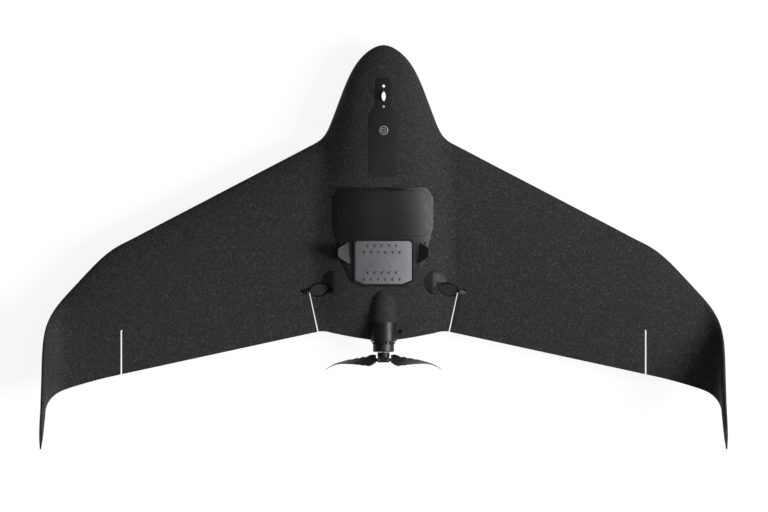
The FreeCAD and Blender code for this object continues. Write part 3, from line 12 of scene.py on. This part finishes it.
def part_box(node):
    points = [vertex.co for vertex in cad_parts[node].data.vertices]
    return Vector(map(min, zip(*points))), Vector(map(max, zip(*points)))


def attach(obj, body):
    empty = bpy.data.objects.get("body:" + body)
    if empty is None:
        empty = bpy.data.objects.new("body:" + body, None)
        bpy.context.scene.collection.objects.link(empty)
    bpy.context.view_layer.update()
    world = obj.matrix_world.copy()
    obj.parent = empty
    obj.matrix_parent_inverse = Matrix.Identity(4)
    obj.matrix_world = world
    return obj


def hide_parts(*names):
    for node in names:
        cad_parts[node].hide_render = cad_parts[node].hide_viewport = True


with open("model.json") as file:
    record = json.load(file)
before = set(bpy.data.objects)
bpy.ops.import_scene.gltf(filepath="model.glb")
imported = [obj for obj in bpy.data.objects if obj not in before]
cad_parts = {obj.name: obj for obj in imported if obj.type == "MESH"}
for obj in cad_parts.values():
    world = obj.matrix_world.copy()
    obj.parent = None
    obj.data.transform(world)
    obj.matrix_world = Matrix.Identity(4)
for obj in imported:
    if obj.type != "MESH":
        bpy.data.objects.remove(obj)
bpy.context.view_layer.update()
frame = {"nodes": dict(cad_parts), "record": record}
NODES = frame["nodes"]
SIDES = ("left", "right")
MM = 0.001
UP = Vector((0, 0, 1))


# ---------------------------------------------------------------- finishes


class Finish:
    """A material whose node tree is written one call at a time, in object coordinates."""

    def __init__(self, name, color, roughness, **constants):
        self.material = bpy.data.materials.new(name)
        self.material.use_nodes = True
        self.tree = self.material.node_tree
        self.shader = self.tree.nodes["Principled BSDF"]
        self.place = self.tree.nodes.new("ShaderNodeTexCoord").outputs["Object"]
        self.shader.inputs["Base Color"].default_value = (*color, 1.0)
        self.shader.inputs["Roughness"].default_value = roughness
        for key, value in constants.items():
            self.shader.inputs[key.replace("_", " ")].default_value = value

    def node(self, kind, inputs, **settings):
        """Adds one node; an input is a number, a colour or another node's output."""
        made = self.tree.nodes.new("ShaderNode" + kind)
        for key, value in settings.items():
            setattr(made, key, value)
        for key, value in inputs.items():
            self.feed(made.inputs[key], value)
        return made

    def feed(self, socket, value):
        """Links an output to a socket, or sets the socket to a plain value."""
        if isinstance(value, bpy.types.NodeSocket):
            self.tree.links.new(value, socket)
        else:
            socket.default_value = value

    def noise(self, size, detail=3.0, stretch=(1, 1, 1)):
        """Cloudy noise with lumps of about the given size in metres."""
        spot = self.node("VectorMath", {0: self.place, 1: stretch}, operation="MULTIPLY")
        inputs = {"Vector": spot.outputs[0], "Scale": 1 / size, "Detail": detail}
        return self.node("TexNoise", inputs).outputs["Fac"]

    def cells(self, size, output="Distance", feature="F1"):
        """Voronoi cells of about the given size in metres."""
        inputs = {"Vector": self.place, "Scale": 1 / size}
        return self.node("TexVoronoi", inputs, feature=feature).outputs[output]

    def sums(self, operation, first, second):
        """One step of arithmetic."""
        return self.node("Math", {0: first, 1: second}, operation=operation).outputs[0]

    def span(self, value, low, high, to_low=0.0, to_high=1.0):
        """Spreads a value from one range onto another, clamped."""
        inputs = {"Value": value, "From Min": low, "From Max": high, "To Min": to_low, "To Max": to_high}
        return self.node("MapRange", inputs).outputs[0]

    def blend(self, share, first, second):
        """A colour between two colours."""
        made = self.node("Mix", {0: share}, data_type="RGBA")
        for socket, color in ((made.inputs[6], first), (made.inputs[7], second)):
            self.feed(socket, color if isinstance(color, bpy.types.NodeSocket) else (*color, 1.0))
        return made.outputs[2]

    def color(self, value):
        self.feed(self.shader.inputs["Base Color"], value)

    def roughness(self, value):
        self.feed(self.shader.inputs["Roughness"], value)

    def relief(self, height, deep):
        """Bumps of the given depth in metres, on top of any relief already there."""
        normal = self.shader.inputs["Normal"]
        inputs = {"Height": height, "Distance": deep, "Strength": 1.0}
        if normal.is_linked:
            inputs["Normal"] = normal.links[0].from_socket
        self.feed(normal, self.node("Bump", inputs).outputs[0])


def bead_foam():
    """Moulded black bead foam: fused beads, random grey and brownish flecks, matt skin."""
    made = Finish("bead_foam", (0.016, 0.016, 0.016), 0.86, Specular_IOR_Level=0.2)
    pick = made.node("SeparateColor", {"Color": made.cells(1.9 * MM, "Color")})
    shade = made.blend(pick.outputs[0], (0.0095, 0.0093, 0.0093), (0.0205, 0.0200, 0.0199))
    fleck = made.span(pick.outputs[1], 0.78, 1.0)
    shade = made.blend(fleck, shade, (0.046, 0.042, 0.0405))
    # painted shade: a few random cells are darkened to near black for the shade inside pits between beads
    pit_painted_shade = made.span(pick.outputs[2], 0.0, 0.16, 0.75, 0.0)
    shade = made.blend(pit_painted_shade, shade, (0.0045, 0.0045, 0.0045))
    grain = made.node("SeparateColor", {"Color": made.cells(1.1 * MM, "Color")})
    shade = made.blend(made.span(grain.outputs[0], 0.7, 1.0, 0.0, 0.7), shade, (0.036, 0.035, 0.035))
    clouds = made.span(made.noise(60 * MM, 4.0), 0.3, 0.7, 0.0, 0.3)
    made.color(made.blend(clouds, shade, (0.017, 0.016, 0.016)))
    made.roughness(made.span(pick.outputs[2], 0.0, 1.0, 0.74, 0.95))
    made.relief(made.cells(2.3 * MM, feature="SMOOTH_F1"), 0.4 * MM)
    made.relief(made.noise(1.0 * MM, 2.0), 0.10 * MM)
    return made.material


def moulded_plastic(name, color, roughness, grain=0.05, spread=0.06, shine=0.28):
    """Injection-moulded plastic: a fine spark-eroded grain and uneven gloss."""
    made = Finish(name, color, roughness, Specular_IOR_Level=shine)
    lighter = tuple(channel * 1.25 + 0.001 for channel in color)
    darker = tuple(channel * 0.86 for channel in color)
    made.color(made.blend(made.span(made.noise(35 * MM, 5.0), 0.3, 0.7), darker, lighter))
    gloss = made.noise(9 * MM, 6.0)
    made.roughness(made.span(gloss, 0.25, 0.75, roughness - spread, roughness + spread))
    made.relief(made.noise(0.45 * MM, 3.0), grain * MM)
    return made.material


def brushed_metal(name, color, roughness, stretch=(1, 1, 1), **constants):
    """Metal with fine turning or brushing marks across the stretched direction."""
    made = Finish(name, color, roughness, Metallic=1.0, **constants)
    marks = made.noise(0.5 * MM, 3.0, stretch)
    darker = tuple(channel * 0.8 for channel in color)
    made.color(made.blend(made.span(marks, 0.3, 0.7), darker, color))
    made.roughness(made.span(marks, 0.2, 0.8, roughness - 0.06, roughness + 0.08))
    made.relief(marks, 0.02 * MM)
    return made.material


def blasted_aluminium():
    """Bead-blasted grey aluminium of the heat sink, very slightly crowned from side to side."""
    made = Finish("blasted_aluminium", (0.2, 0.2, 0.21), 0.5, Metallic=0.5)
    across = made.node("SeparateXYZ", {"Vector": made.place}).outputs["X"]
    made.relief(made.sums("MULTIPLY", across, across), -2.0)
    stains = made.span(made.noise(22 * MM, 5.0), 0.3, 0.7)
    made.color(made.blend(stains, (0.127, 0.132, 0.141), (0.155, 0.161, 0.170)))
    made.roughness(made.span(made.noise(6 * MM, 4.0), 0.3, 0.7, 0.42, 0.58))
    made.relief(made.noise(0.5 * MM, 2.0), 0.04 * MM)
    return made.material


def woven_carbon():
    """Carbon tube: a twill weave under clear resin."""
    made = Finish("woven_carbon", (0.02, 0.02, 0.022), 0.34, Coat_Weight=0.6, Coat_Roughness=0.12)
    twist = made.node("Mapping", {"Vector": made.place, "Rotation": (0.6, 0.0, 0.785)})
    checks = made.node("TexChecker", {"Vector": twist.outputs[0], "Scale": 1 / (2.0 * MM)})
    made.color(made.blend(checks.outputs[1], (0.012, 0.012, 0.013), (0.045, 0.045, 0.048)))
    made.roughness(made.span(checks.outputs[1], 0.0, 1.0, 0.28, 0.46))
    made.relief(checks.outputs[1], 0.05 * MM)
    return made.material


def shrink_film(name, color):
    """Shrink-wrapped film: soft wrinkles and a glossy skin."""
    made = Finish(name, color, 0.3, Specular_IOR_Level=0.5)
    lighter = tuple(channel * 1.7 for channel in color)
    made.color(made.blend(made.span(made.noise(14 * MM, 4.0), 0.35, 0.65), color, lighter))
    made.roughness(made.span(made.noise(5 * MM, 3.0), 0.3, 0.7, 0.22, 0.4))
    made.relief(made.noise(7 * MM, 4.0, (0.25, 1, 1)), 0.5 * MM)
    return made.material


def solder_mask():
    """Printed circuit board: green mask with tracks showing through."""
    made = Finish("solder_mask", (0.02, 0.13, 0.05), 0.32)
    tracks = made.node("TexBrick", {"Vector": made.place, "Scale": 1 / (6 * MM), "Mortar Size": 0.09})
    made.color(made.blend(tracks.outputs[1], (0.018, 0.12, 0.045), (0.035, 0.22, 0.08)))
    made.roughness(made.span(made.noise(4 * MM), 0.3, 0.7, 0.26, 0.4))
    made.relief(tracks.outputs[1], 0.05 * MM)
    return made.material


def frosted_lens():
    """Frosted white beacon dome with a faint inner prism pattern."""
    made = Finish("frosted_lens", (0.92, 0.92, 0.92), 0.28, Subsurface_Weight=0.2, Subsurface_Scale=0.002)
    prisms = made.node("TexWave", {"Vector": made.place, "Scale": 1 / (4 * MM)}, bands_direction="Y")
    made.color(made.blend(prisms.outputs[1], (0.86, 0.87, 0.88), (0.95, 0.95, 0.95)))
    made.roughness(made.span(made.noise(2 * MM), 0.3, 0.7, 0.24, 0.36))
    made.relief(prisms.outputs[1], 0.03 * MM)
    return made.material


def marked_cap():
    """Dark button cap whose raised ring is printed grey."""
    made = Finish("marked_cap", (0.02, 0.02, 0.021), 0.42)
    low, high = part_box("power_button")
    middle = (low + high) / 2
    flat = made.node("VectorMath", {0: made.place, 1: (1, 1, 0)}, operation="MULTIPLY")
    inputs = {0: flat.outputs[0], 1: (middle.x, middle.y, 0)}
    reach = made.node("VectorMath", inputs, operation="DISTANCE").outputs["Value"]
    inner = made.span(reach, 2.45 * MM, 2.6 * MM)
    outer = made.span(reach, 4.1 * MM, 4.25 * MM, 1.0, 0.0)
    ring = made.sums("MULTIPLY", inner, outer)
    made.color(made.blend(ring, (0.012, 0.012, 0.013), (0.15, 0.15, 0.155)))
    made.roughness(made.span(made.noise(1.5 * MM), 0.3, 0.7, 0.36, 0.5))
    made.relief(made.noise(0.4 * MM), 0.03 * MM)
    return made.material


def coated_glass():
    """Front element of the camera lens: clear glass with a violet coating."""
    made = Finish("coated_glass", (0.5, 0.55, 0.8), 0.03, Transmission_Weight=0.9, IOR=1.5, Coat_Weight=1.0)
    rim = made.node("LayerWeight", {"Blend": 0.35}).outputs["Facing"]
    made.color(made.blend(rim, (0.35, 0.42, 0.75), (0.75, 0.55, 0.85)))
    made.roughness(made.span(made.noise(6 * MM), 0.3, 0.7, 0.02, 0.05))
    return made.material


def rubber_sheath():
    """Matt rubber with a fine lengthwise grain."""
    made = Finish("rubber_sheath", (0.02, 0.02, 0.02), 0.7)
    marks = made.noise(0.8 * MM, 3.0, (1, 0.2, 1))
    made.color(made.blend(marks, (0.014, 0.014, 0.014), (0.028, 0.028, 0.028)))
    made.roughness(made.span(marks, 0.2, 0.8, 0.6, 0.8))
    made.relief(marks, 0.04 * MM)
    return made.material


def webbing():
    """Woven strap: diagonal ribs."""
    made = Finish("webbing", (0.03, 0.03, 0.032), 0.8, Sheen_Weight=0.3)
    ribs = made.node("TexWave", {"Vector": made.place, "Scale": 1 / (3 * MM)}, bands_direction="DIAGONAL")
    made.color(made.blend(ribs.outputs[1], (0.016, 0.016, 0.018), (0.055, 0.055, 0.06)))
    made.roughness(made.span(ribs.outputs[1], 0.0, 1.0, 0.7, 0.9))
    made.relief(ribs.outputs[1], 0.15 * MM)
    return made.material


def cap_plastic():
    """Cap plastic: white in front of the beacon, with grey painted shade on the cap behind it."""
    made = Finish("cap_plastic", (0.5, 0.5, 0.5), 0.35)
    low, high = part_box("beacon_lens")
    along = made.node("SeparateXYZ", {"Vector": made.place}).outputs["Y"]
    unshaded_front = made.span(along, low.y, high.y)
    tint = made.span(made.noise(2 * MM), 0.3, 0.7, 0.0, 0.08)
    # painted shade: the white cap behind the beacon is given grey, the one in front stays white
    shade = made.blend(unshaded_front, (0.24, 0.24, 0.24), (0.85, 0.85, 0.85))
    made.color(made.blend(tint, shade, (0.5, 0.5, 0.5)))
    made.roughness(made.span(made.noise(1.5 * MM), 0.3, 0.7, 0.3, 0.42))
    return made.material


FINISHES = {
    "black_foam": bead_foam(),
    "rib_plastic": moulded_plastic("rib_plastic", (0.018, 0.018, 0.019), 0.48),
    "carbon_tube": woven_carbon(),
    "servo_case": moulded_plastic("servo_case", (0.014, 0.014, 0.017), 0.4),
    "cover_plastic": moulded_plastic("cover_plastic", (0.007, 0.007, 0.007), 0.55, shine=0.2),
    "arm_plastic": moulded_plastic("arm_plastic", (0.006, 0.006, 0.006), 0.6),
    "deck_plastic": moulded_plastic("deck_plastic", (0.0052, 0.0052, 0.0053), 0.44, grain=0.03, shine=0.26),
    "screw_metal": brushed_metal("screw_metal", (0.045, 0.045, 0.047), 0.42),
    "bright_metal": brushed_metal("bright_metal", (0.28, 0.28, 0.29), 0.4),
    "magnet_metal": brushed_metal("magnet_metal", (0.66, 0.66, 0.67), 0.22),
    "battery_wrap": shrink_film("battery_wrap", (0.03, 0.03, 0.04)),
    "board_green": solder_mask(),
    "controller_wrap": shrink_film("controller_wrap", (0.025, 0.025, 0.025)),
    "heat_sink_metal": blasted_aluminium(),
    "wire_sheath": rubber_sheath(),
    "antenna_plastic": moulded_plastic("antenna_plastic", (0.026, 0.026, 0.025), 0.5, shine=0.2),
    "bezel_grey": moulded_plastic("bezel_grey", (0.22, 0.22, 0.225), 0.45),
    "button_plastic": marked_cap(),
    "pedestal_plastic": moulded_plastic("pedestal_plastic", (0.008, 0.008, 0.008), 0.5),
    "beacon_white": frosted_lens(),
    "shroud_plastic": moulded_plastic("shroud_plastic", (0.008, 0.008, 0.008), 0.36, shine=0.19),
    "motor_metal": brushed_metal("motor_metal", (0.038, 0.038, 0.040), 0.46, (1, 0.15, 1)),
    "stator_metal": brushed_metal("stator_metal", (0.5, 0.24, 0.1), 0.35, (0.2, 1, 1)),
    "hub_plastic": moulded_plastic("hub_plastic", (0.006, 0.006, 0.006), 0.5, shine=0.2),
    "blade_plastic": moulded_plastic("blade_plastic", (0.009, 0.009, 0.009), 0.42),
    "camera_shell": moulded_plastic("camera_shell", (0.035, 0.035, 0.037), 0.45),
    "barrel_black": moulded_plastic("barrel_black", (0.011, 0.011, 0.011), 0.35),
    "lens_glass": coated_glass(),
}
WEBBING = webbing()
CAPS = cap_plastic()


def dress_nodes():
    """Gives every CAD node the finish of its record slot."""
    for row in frame["record"]["subparts"]:
        slots = NODES[row["node"]].data.materials
        for index in range(len(slots)):
            slots[index] = FINISHES[row["material_slot"]]


# ---------------------------------------------------------------- mesh helpers


def piece(name, body, slot, mesh, finish=None):
    """Turns a bmesh into a named piece that rides on a body."""
    bmesh.ops.recalc_face_normals(mesh, faces=mesh.faces)
    data = bpy.data.meshes.new(name)
    mesh.to_mesh(data)
    mesh.free()
    data.materials.append(finish or FINISHES[slot])
    made = bpy.data.objects.new(name, data)
    bpy.context.scene.collection.objects.link(made)
    data.set_sharp_from_angle(angle=math.radians(40))
    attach(made, body)
    return made


def islands(node):
    """The boxes of a CAD node's separate lumps, as (lowest, highest) corners."""
    mesh = bmesh.new()
    mesh.from_mesh(NODES[node].data)
    bmesh.ops.remove_doubles(mesh, verts=mesh.verts, dist=1e-6)
    left, boxes = set(mesh.verts), []
    while left:
        group, queue = set(), [left.pop()]
        while queue:
            vert = queue.pop()
            group.add(vert)
            for edge in vert.link_edges:
                other = edge.other_vert(vert)
                if other in left:
                    left.discard(other)
                    queue.append(other)
        spots = [v.co.copy() for v in group]
        low = Vector([min(p[k] for p in spots) for k in range(3)])
        high = Vector([max(p[k] for p in spots) for k in range(3)])
        boxes.append((low, high))
    mesh.free()
    return boxes


def turned(mesh, place, rings, sides=24):
    """A closed shape through rings of (height, radius, corners) about the place's Z axis."""
    rows = []
    for height, radius, corners in rings:
        row = []
        for step in range(sides):
            angle = math.tau * step / sides
            reach = radius
            if corners:
                part = math.tau / corners
                reach = radius / math.cos(angle % part - part / 2)
            spot = Vector((reach * math.cos(angle), reach * math.sin(angle), height))
            row.append(mesh.verts.new(place @ spot))
        rows.append(row)
    for low, high in zip(rows, rows[1:]):
        for step in range(sides):
            after = (step + 1) % sides
            face = mesh.faces.new((low[step], low[after], high[after], high[step]))
            face.smooth = True
    mesh.faces.new(rows[0])
    mesh.faces.new(rows[-1])


def rounded_block(mesh, low, high, edge):
    """A box with rounded edges between two corners."""
    grown = bmesh.ops.create_cube(mesh, size=1.0)["verts"]
    size, middle = high - low, (high + low) / 2
    for vert in grown:
        vert.co = Vector(vert.co[k] * size[k] for k in range(3)) + middle
    edges = {e for v in grown for e in v.link_edges}
    bmesh.ops.bevel(mesh, geom=list(edges), offset=edge, segments=3, affect="EDGES", profile=0.5)


# ---------------------------------------------------------------- fine detail


def socket_screws(node):
    """Button-head screws with hexagon sockets and threaded shanks, in place of the CAD's plain ones."""
    mesh, pitch = bmesh.new(), 0.5 * MM
    for low, high in islands(node):
        middle = (low + high) / 2
        radius, tall = (high.x - low.x) / 2, high.z - low.z
        head = min(tall * 0.5, radius * 0.9)
        seat, shank = tall - head, radius * 0.5
        rings = [(0.0, shank * 0.8, 0)]
        turns = max(2, int(seat / pitch))
        for turn in range(turns):
            start = seat * turn / turns
            rings.append((start + seat * 0.25 / turns, shank, 0))
            rings.append((start + seat * 0.75 / turns, shank * 0.84, 0))
        rings += [
            (seat, shank, 0),
            (seat, radius, 0),
            (tall - head * 0.55, radius, 0),
            (tall - head * 0.15, radius * 0.86, 0),
            (tall, radius * 0.66, 0),
            (tall, radius * 0.42, 6),
            (tall - head * 0.55, radius * 0.40, 6),
        ]
        turned(mesh, Matrix.Translation((middle.x, middle.y, low.z)), rings)
    made = piece(node + "_detail", "airframe", "screw_metal", mesh)
    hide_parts(node)


def beacon_caps():
    """Round domed caps before and behind the beacon: both white, the rear one carrying grey painted shade.
    """
    mesh = bmesh.new()
    for low, high in islands("beacon_screws"):
        middle, radius, tall = (low + high) / 2, (high.x - low.x) / 2, high.z - low.z
        rings = [(0.0, radius, 0), (tall * 0.7, radius, 0)]
        for step in range(1, 6):
            turn = math.radians(18 * step)
            rings.append((tall * (0.7 + 0.3 * math.sin(turn)), radius * (0.12 + 0.88 * math.cos(turn)), 0))
        turned(mesh, Matrix.Translation((middle.x, middle.y, low.z)), rings, 32)
    made = piece("beacon_caps", "airframe", "bright_metal", mesh, CAPS)
    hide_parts("beacon_screws")


def bell_collar():
    """Castellated cooling collar on the front of the motor bell, just behind the shroud."""
    low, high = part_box("motor_bell")
    axis = (low + high) / 2
    bell = (high.x - low.x) / 2
    inner, outer, taper = bell - 0.6 * MM, bell + 1.9 * MM, 0.35 * MM
    front, rear = -160.0 * MM, -163.4 * MM
    count, tooth_share = 18, 0.62
    mesh = bmesh.new()
    for step in range(count):
        start = math.tau * step / count
        stop = start + math.tau / count * tooth_share
        corners = []
        for along, rim in ((front, outer), (rear, outer - taper)):
            for angle, reach in ((start, inner), (start, rim), (stop, rim), (stop, inner)):
                spot = (axis.x + reach * math.cos(angle), along, axis.z + reach * math.sin(angle))
                corners.append(mesh.verts.new(spot))
        for ring in ((0, 1, 2, 3), (4, 5, 6, 7), (0, 1, 5, 4), (1, 2, 6, 5), (2, 3, 7, 6), (3, 0, 4, 7)):
            mesh.faces.new([corners[k] for k in ring])
    bevel = piece("bell_collar", "rotor", "motor_metal", mesh).modifiers.new("edges", "BEVEL")
    bevel.width = 0.25 * MM
    bevel.segments = 2
    bevel.limit_method = "ANGLE"
    bevel.angle_limit = math.radians(40)


def battery_fittings():
    """The battery's two straps and its connector, seen when the hatch is open."""
    low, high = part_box("battery_pack")
    middle = (low + high) / 2
    mesh = bmesh.new()
    for shift in (-24 * MM, 24 * MM):
        rounded_block(
            mesh,
            Vector((middle.x + shift - 9 * MM, low.y - 0.7 * MM, low.z + 6 * MM)),
            Vector((middle.x + shift + 9 * MM, high.y + 0.7 * MM, high.z + 0.9 * MM)),
            0.4 * MM,
        )
    piece("battery_straps", "airframe", "battery_wrap", mesh, WEBBING)
    mesh = bmesh.new()
    for shift in (-4.5 * MM, 4.5 * MM):
        rounded_block(
            mesh,
            Vector((middle.x + shift - 4.2 * MM, low.y + 4 * MM, high.z - 1 * MM)),
            Vector((middle.x + shift + 4.2 * MM, low.y + 20 * MM, high.z + 4.2 * MM)),
            1.0 * MM,
        )
    piece("battery_plug", "airframe", "servo_case", mesh)


def board_parts():
    """Chips, connectors and capacitors on the main board, clear of the thermal block."""
    low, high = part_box("main_board")
    random.seed(5)
    mesh, spots = bmesh.new(), []
    top, margin, tries = low.z + 1.6 * MM, 6 * MM, 60
    block_half, block_rear, block_front = 12 * MM, -40 * MM, -10 * MM
    sizes = [(12, 12, 1.2), (8, 8, 1.0), (6, 10, 1.4), (9, 5, 2.2)] + [(3, 1.6, 0.9)] * 16
    for wide, deep, tall in sizes:
        for _ in range(tries):
            x = random.uniform(low.x + margin, high.x - margin)
            y = random.uniform(low.y + margin, high.y - margin)
            reach = math.hypot(wide, deep) / 2 * MM
            if abs(x) < block_half and block_rear < y < block_front:
                continue
            if all(math.hypot(x - a, y - b) > reach + c for a, b, c in spots):
                spots.append((x, y, reach))
                half = Vector((wide / 2 * MM, deep / 2 * MM, 0))
                base = Vector((x, y, top))
                rounded_block(mesh, base - half, base + half + UP * tall * MM, 0.2 * MM)
                break
    piece("board_parts", "airframe", "servo_case", mesh)


def joint_seals():
    """Thin foam gaskets on the body's sides that close the wing joints, just below the skin."""
    in_gap, below_skin, same = 0.11 * MM, 0.3 * MM, 1e-5
    for side in SIDES:
        source = NODES[side + "_wing_panel"].data
        root = min(abs(v.co.x) for v in source.vertices)
        mesh = bmesh.new()
        mesh.from_mesh(source)
        bmesh.ops.remove_doubles(mesh, verts=mesh.verts, dist=1e-6)
        away = [f for f in mesh.faces if any(abs(abs(v.co.x) - root) > same for v in f.verts)]
        bmesh.ops.delete(mesh, geom=away, context="FACES")
        rim = [v for v in mesh.verts if any(e.is_boundary for e in v.link_edges)]
        middle = sum((v.co for v in rim), Vector()) / len(rim)
        for vert in mesh.verts:
            vert.co.x = math.copysign(root - in_gap, vert.co.x)
        for vert in rim:
            vert.co.z += math.copysign(below_skin, middle.z - vert.co.z)
        made = piece(side + "_joint_seal", "airframe", "black_foam", mesh)
        thick = made.modifiers.new("thickness", "SOLIDIFY")
        thick.thickness = 0.15 * MM
        thick.offset = 0.0


def hinge_beads():
    """Short foam beads that close the gap between each elevon's fitting and its hinge strip."""
    start, stop, radius = 13.7 * MM, 14.6 * MM, 0.6 * MM
    for joint in frame["record"]["behaviour"]["joints"]:
        if joint["child"] not in ("left_elevon", "right_elevon"):
            continue
        origin = Vector(joint["pos_m"])
        outward = Vector(joint["axis"]) * math.copysign(1.0, origin.x)
        spot = origin + outward * start + Vector((0, -0.2 * MM, -0.4 * MM))
        place = Matrix.Translation(spot) @ outward.to_track_quat("Z", "Y").to_matrix().to_4x4()
        mesh = bmesh.new()
        turned(mesh, place, [(0.0, radius, 0), (stop - start, radius, 0)], 16)
        piece(joint["child"] + "_bead", joint["child"], "black_foam", mesh)


def hatch_mark():
    """A small moulded ring on the hatch over its catch."""
    above, edge = Vector((-65.0 * MM, 56.0 * MM, 0.2)), 4.4 * MM
    hit, place, normal, _ = NODES["battery_hatch"].ray_cast(above, -UP)
    if not hit:
        raise RuntimeError("the hatch mark has nothing under it")
    base = Matrix.Translation(place) @ normal.to_track_quat("Z", "Y").to_matrix().to_4x4()
    foot, top, dish = -0.4 * MM, 0.18 * MM, 0.02 * MM
    rings = [(foot, edge, 0), (0.0, edge, 0), (top, 4.1 * MM, 0), (top, 3.4 * MM, 0), (dish, 3.1 * MM, 0)]
    mesh = bmesh.new()
    turned(mesh, base, rings, 40)
    piece("hatch_catch_mark", "hatch", "deck_plastic", mesh)


def lens_grip():
    """Grip ribs round the camera's barrel."""
    low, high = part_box("lens_barrel")
    axis, reach, count = (low + high) / 2, (high.x - low.x) / 2, 36
    near = Vector((reach - 0.4 * MM, -0.45 * MM, low.z + 2.5 * MM))
    far = Vector((reach + 0.45 * MM, 0.45 * MM, low.z + 8 * MM))
    mesh = bmesh.new()
    for step in range(count):
        rib = bmesh.new()
        rounded_block(rib, near, far, 0.15 * MM)
        turn = Matrix.Rotation(math.tau * step / count, 4, "Z")
        rib.transform(Matrix.Translation((axis.x, axis.y, 0)) @ turn)
        data = bpy.data.meshes.new("rib")
        rib.to_mesh(data)
        rib.free()
        mesh.from_mesh(data)
        bpy.data.meshes.remove(data)
    piece("lens_grip", "camera", "barrel_black", mesh)


def add_detail():
    for node in ("deck_screws", "motor_screws", "skid_screws"):
        socket_screws(node)
    beacon_caps()
    bell_collar()
    battery_fittings()
    board_parts()
    joint_seals()
    hinge_beads()
    hatch_mark()
    lens_grip()


# ---------------------------------------------------------------- studio


def area_light(name, place, size, power):
    """A square soft light that faces the drone and isn't seen by the camera."""
    lamp = bpy.data.lights.new(name, "AREA")
    lamp.shape = "SQUARE"
    lamp.size = size
    lamp.energy = power
    made = bpy.data.objects.new(name, lamp)
    made.location = place
    made.rotation_euler = (-Vector(place)).to_track_quat("-Z", "Y").to_euler()
    made.visible_camera = False
    bpy.context.scene.collection.objects.link(made)


def studio():
    """A pale floor, a key light from the right, a soft top light and a white surround."""
    mesh = bmesh.new()
    bmesh.ops.create_grid(mesh, x_segments=1, y_segments=1, size=12.0)
    data = bpy.data.meshes.new("floor")
    mesh.to_mesh(data)
    mesh.free()
    floor = bpy.data.objects.new("floor", data)
    bpy.context.scene.collection.objects.link(floor)
    paper = Finish("paper", (0.10, 0.10, 0.10), 0.95, Specular_IOR_Level=0.0, Emission_Strength=0.90)
    paper.color(paper.blend(paper.noise(0.3), (0.09, 0.09, 0.09), (0.11, 0.11, 0.11)))
    paper.shader.inputs["Emission Color"].default_value = (1, 1, 1, 1)
    data.materials.append(paper.material)
    area_light("key_light", (5.5, -0.9, 4.3), 3.0, 800.0)
    area_light("top_light", (2.2, 0.8, 6.0), 3.5, 80.0)
    world = bpy.data.worlds.new("surround")
    bpy.context.scene.world = world
    world.use_nodes = True
    tree = world.node_tree
    path = tree.nodes.new("ShaderNodeLightPath")
    strength = tree.nodes.new("ShaderNodeMapRange")
    strength.inputs["To Min"].default_value = 0.13
    strength.inputs["To Max"].default_value = 1.0
    tree.links.new(path.outputs["Is Camera Ray"], strength.inputs["Value"])
    tree.links.new(strength.outputs[0], tree.nodes["Background"].inputs["Strength"])
    tree.nodes["Background"].inputs["Color"].default_value = (1, 1, 1, 1)
    bpy.context.scene.view_settings.view_transform = "Standard"


def camera():
    """Straight above the drone with its nose up, far enough away to be nearly without perspective."""
    lens = bpy.data.cameras.new("camera")
    made = bpy.data.objects.new("camera", lens)
    bpy.context.scene.collection.objects.link(made)
    height, deck, field = 40.0, 0.06, 1.2948
    made.location = (0.0008, -0.0152, height)
    lens.sensor_width = 36.0
    lens.lens = lens.sensor_width * (height - deck) / field
    lens.clip_end = 100.0
    bpy.context.scene.camera = made


dress_nodes()
add_detail()
camera()
studio()
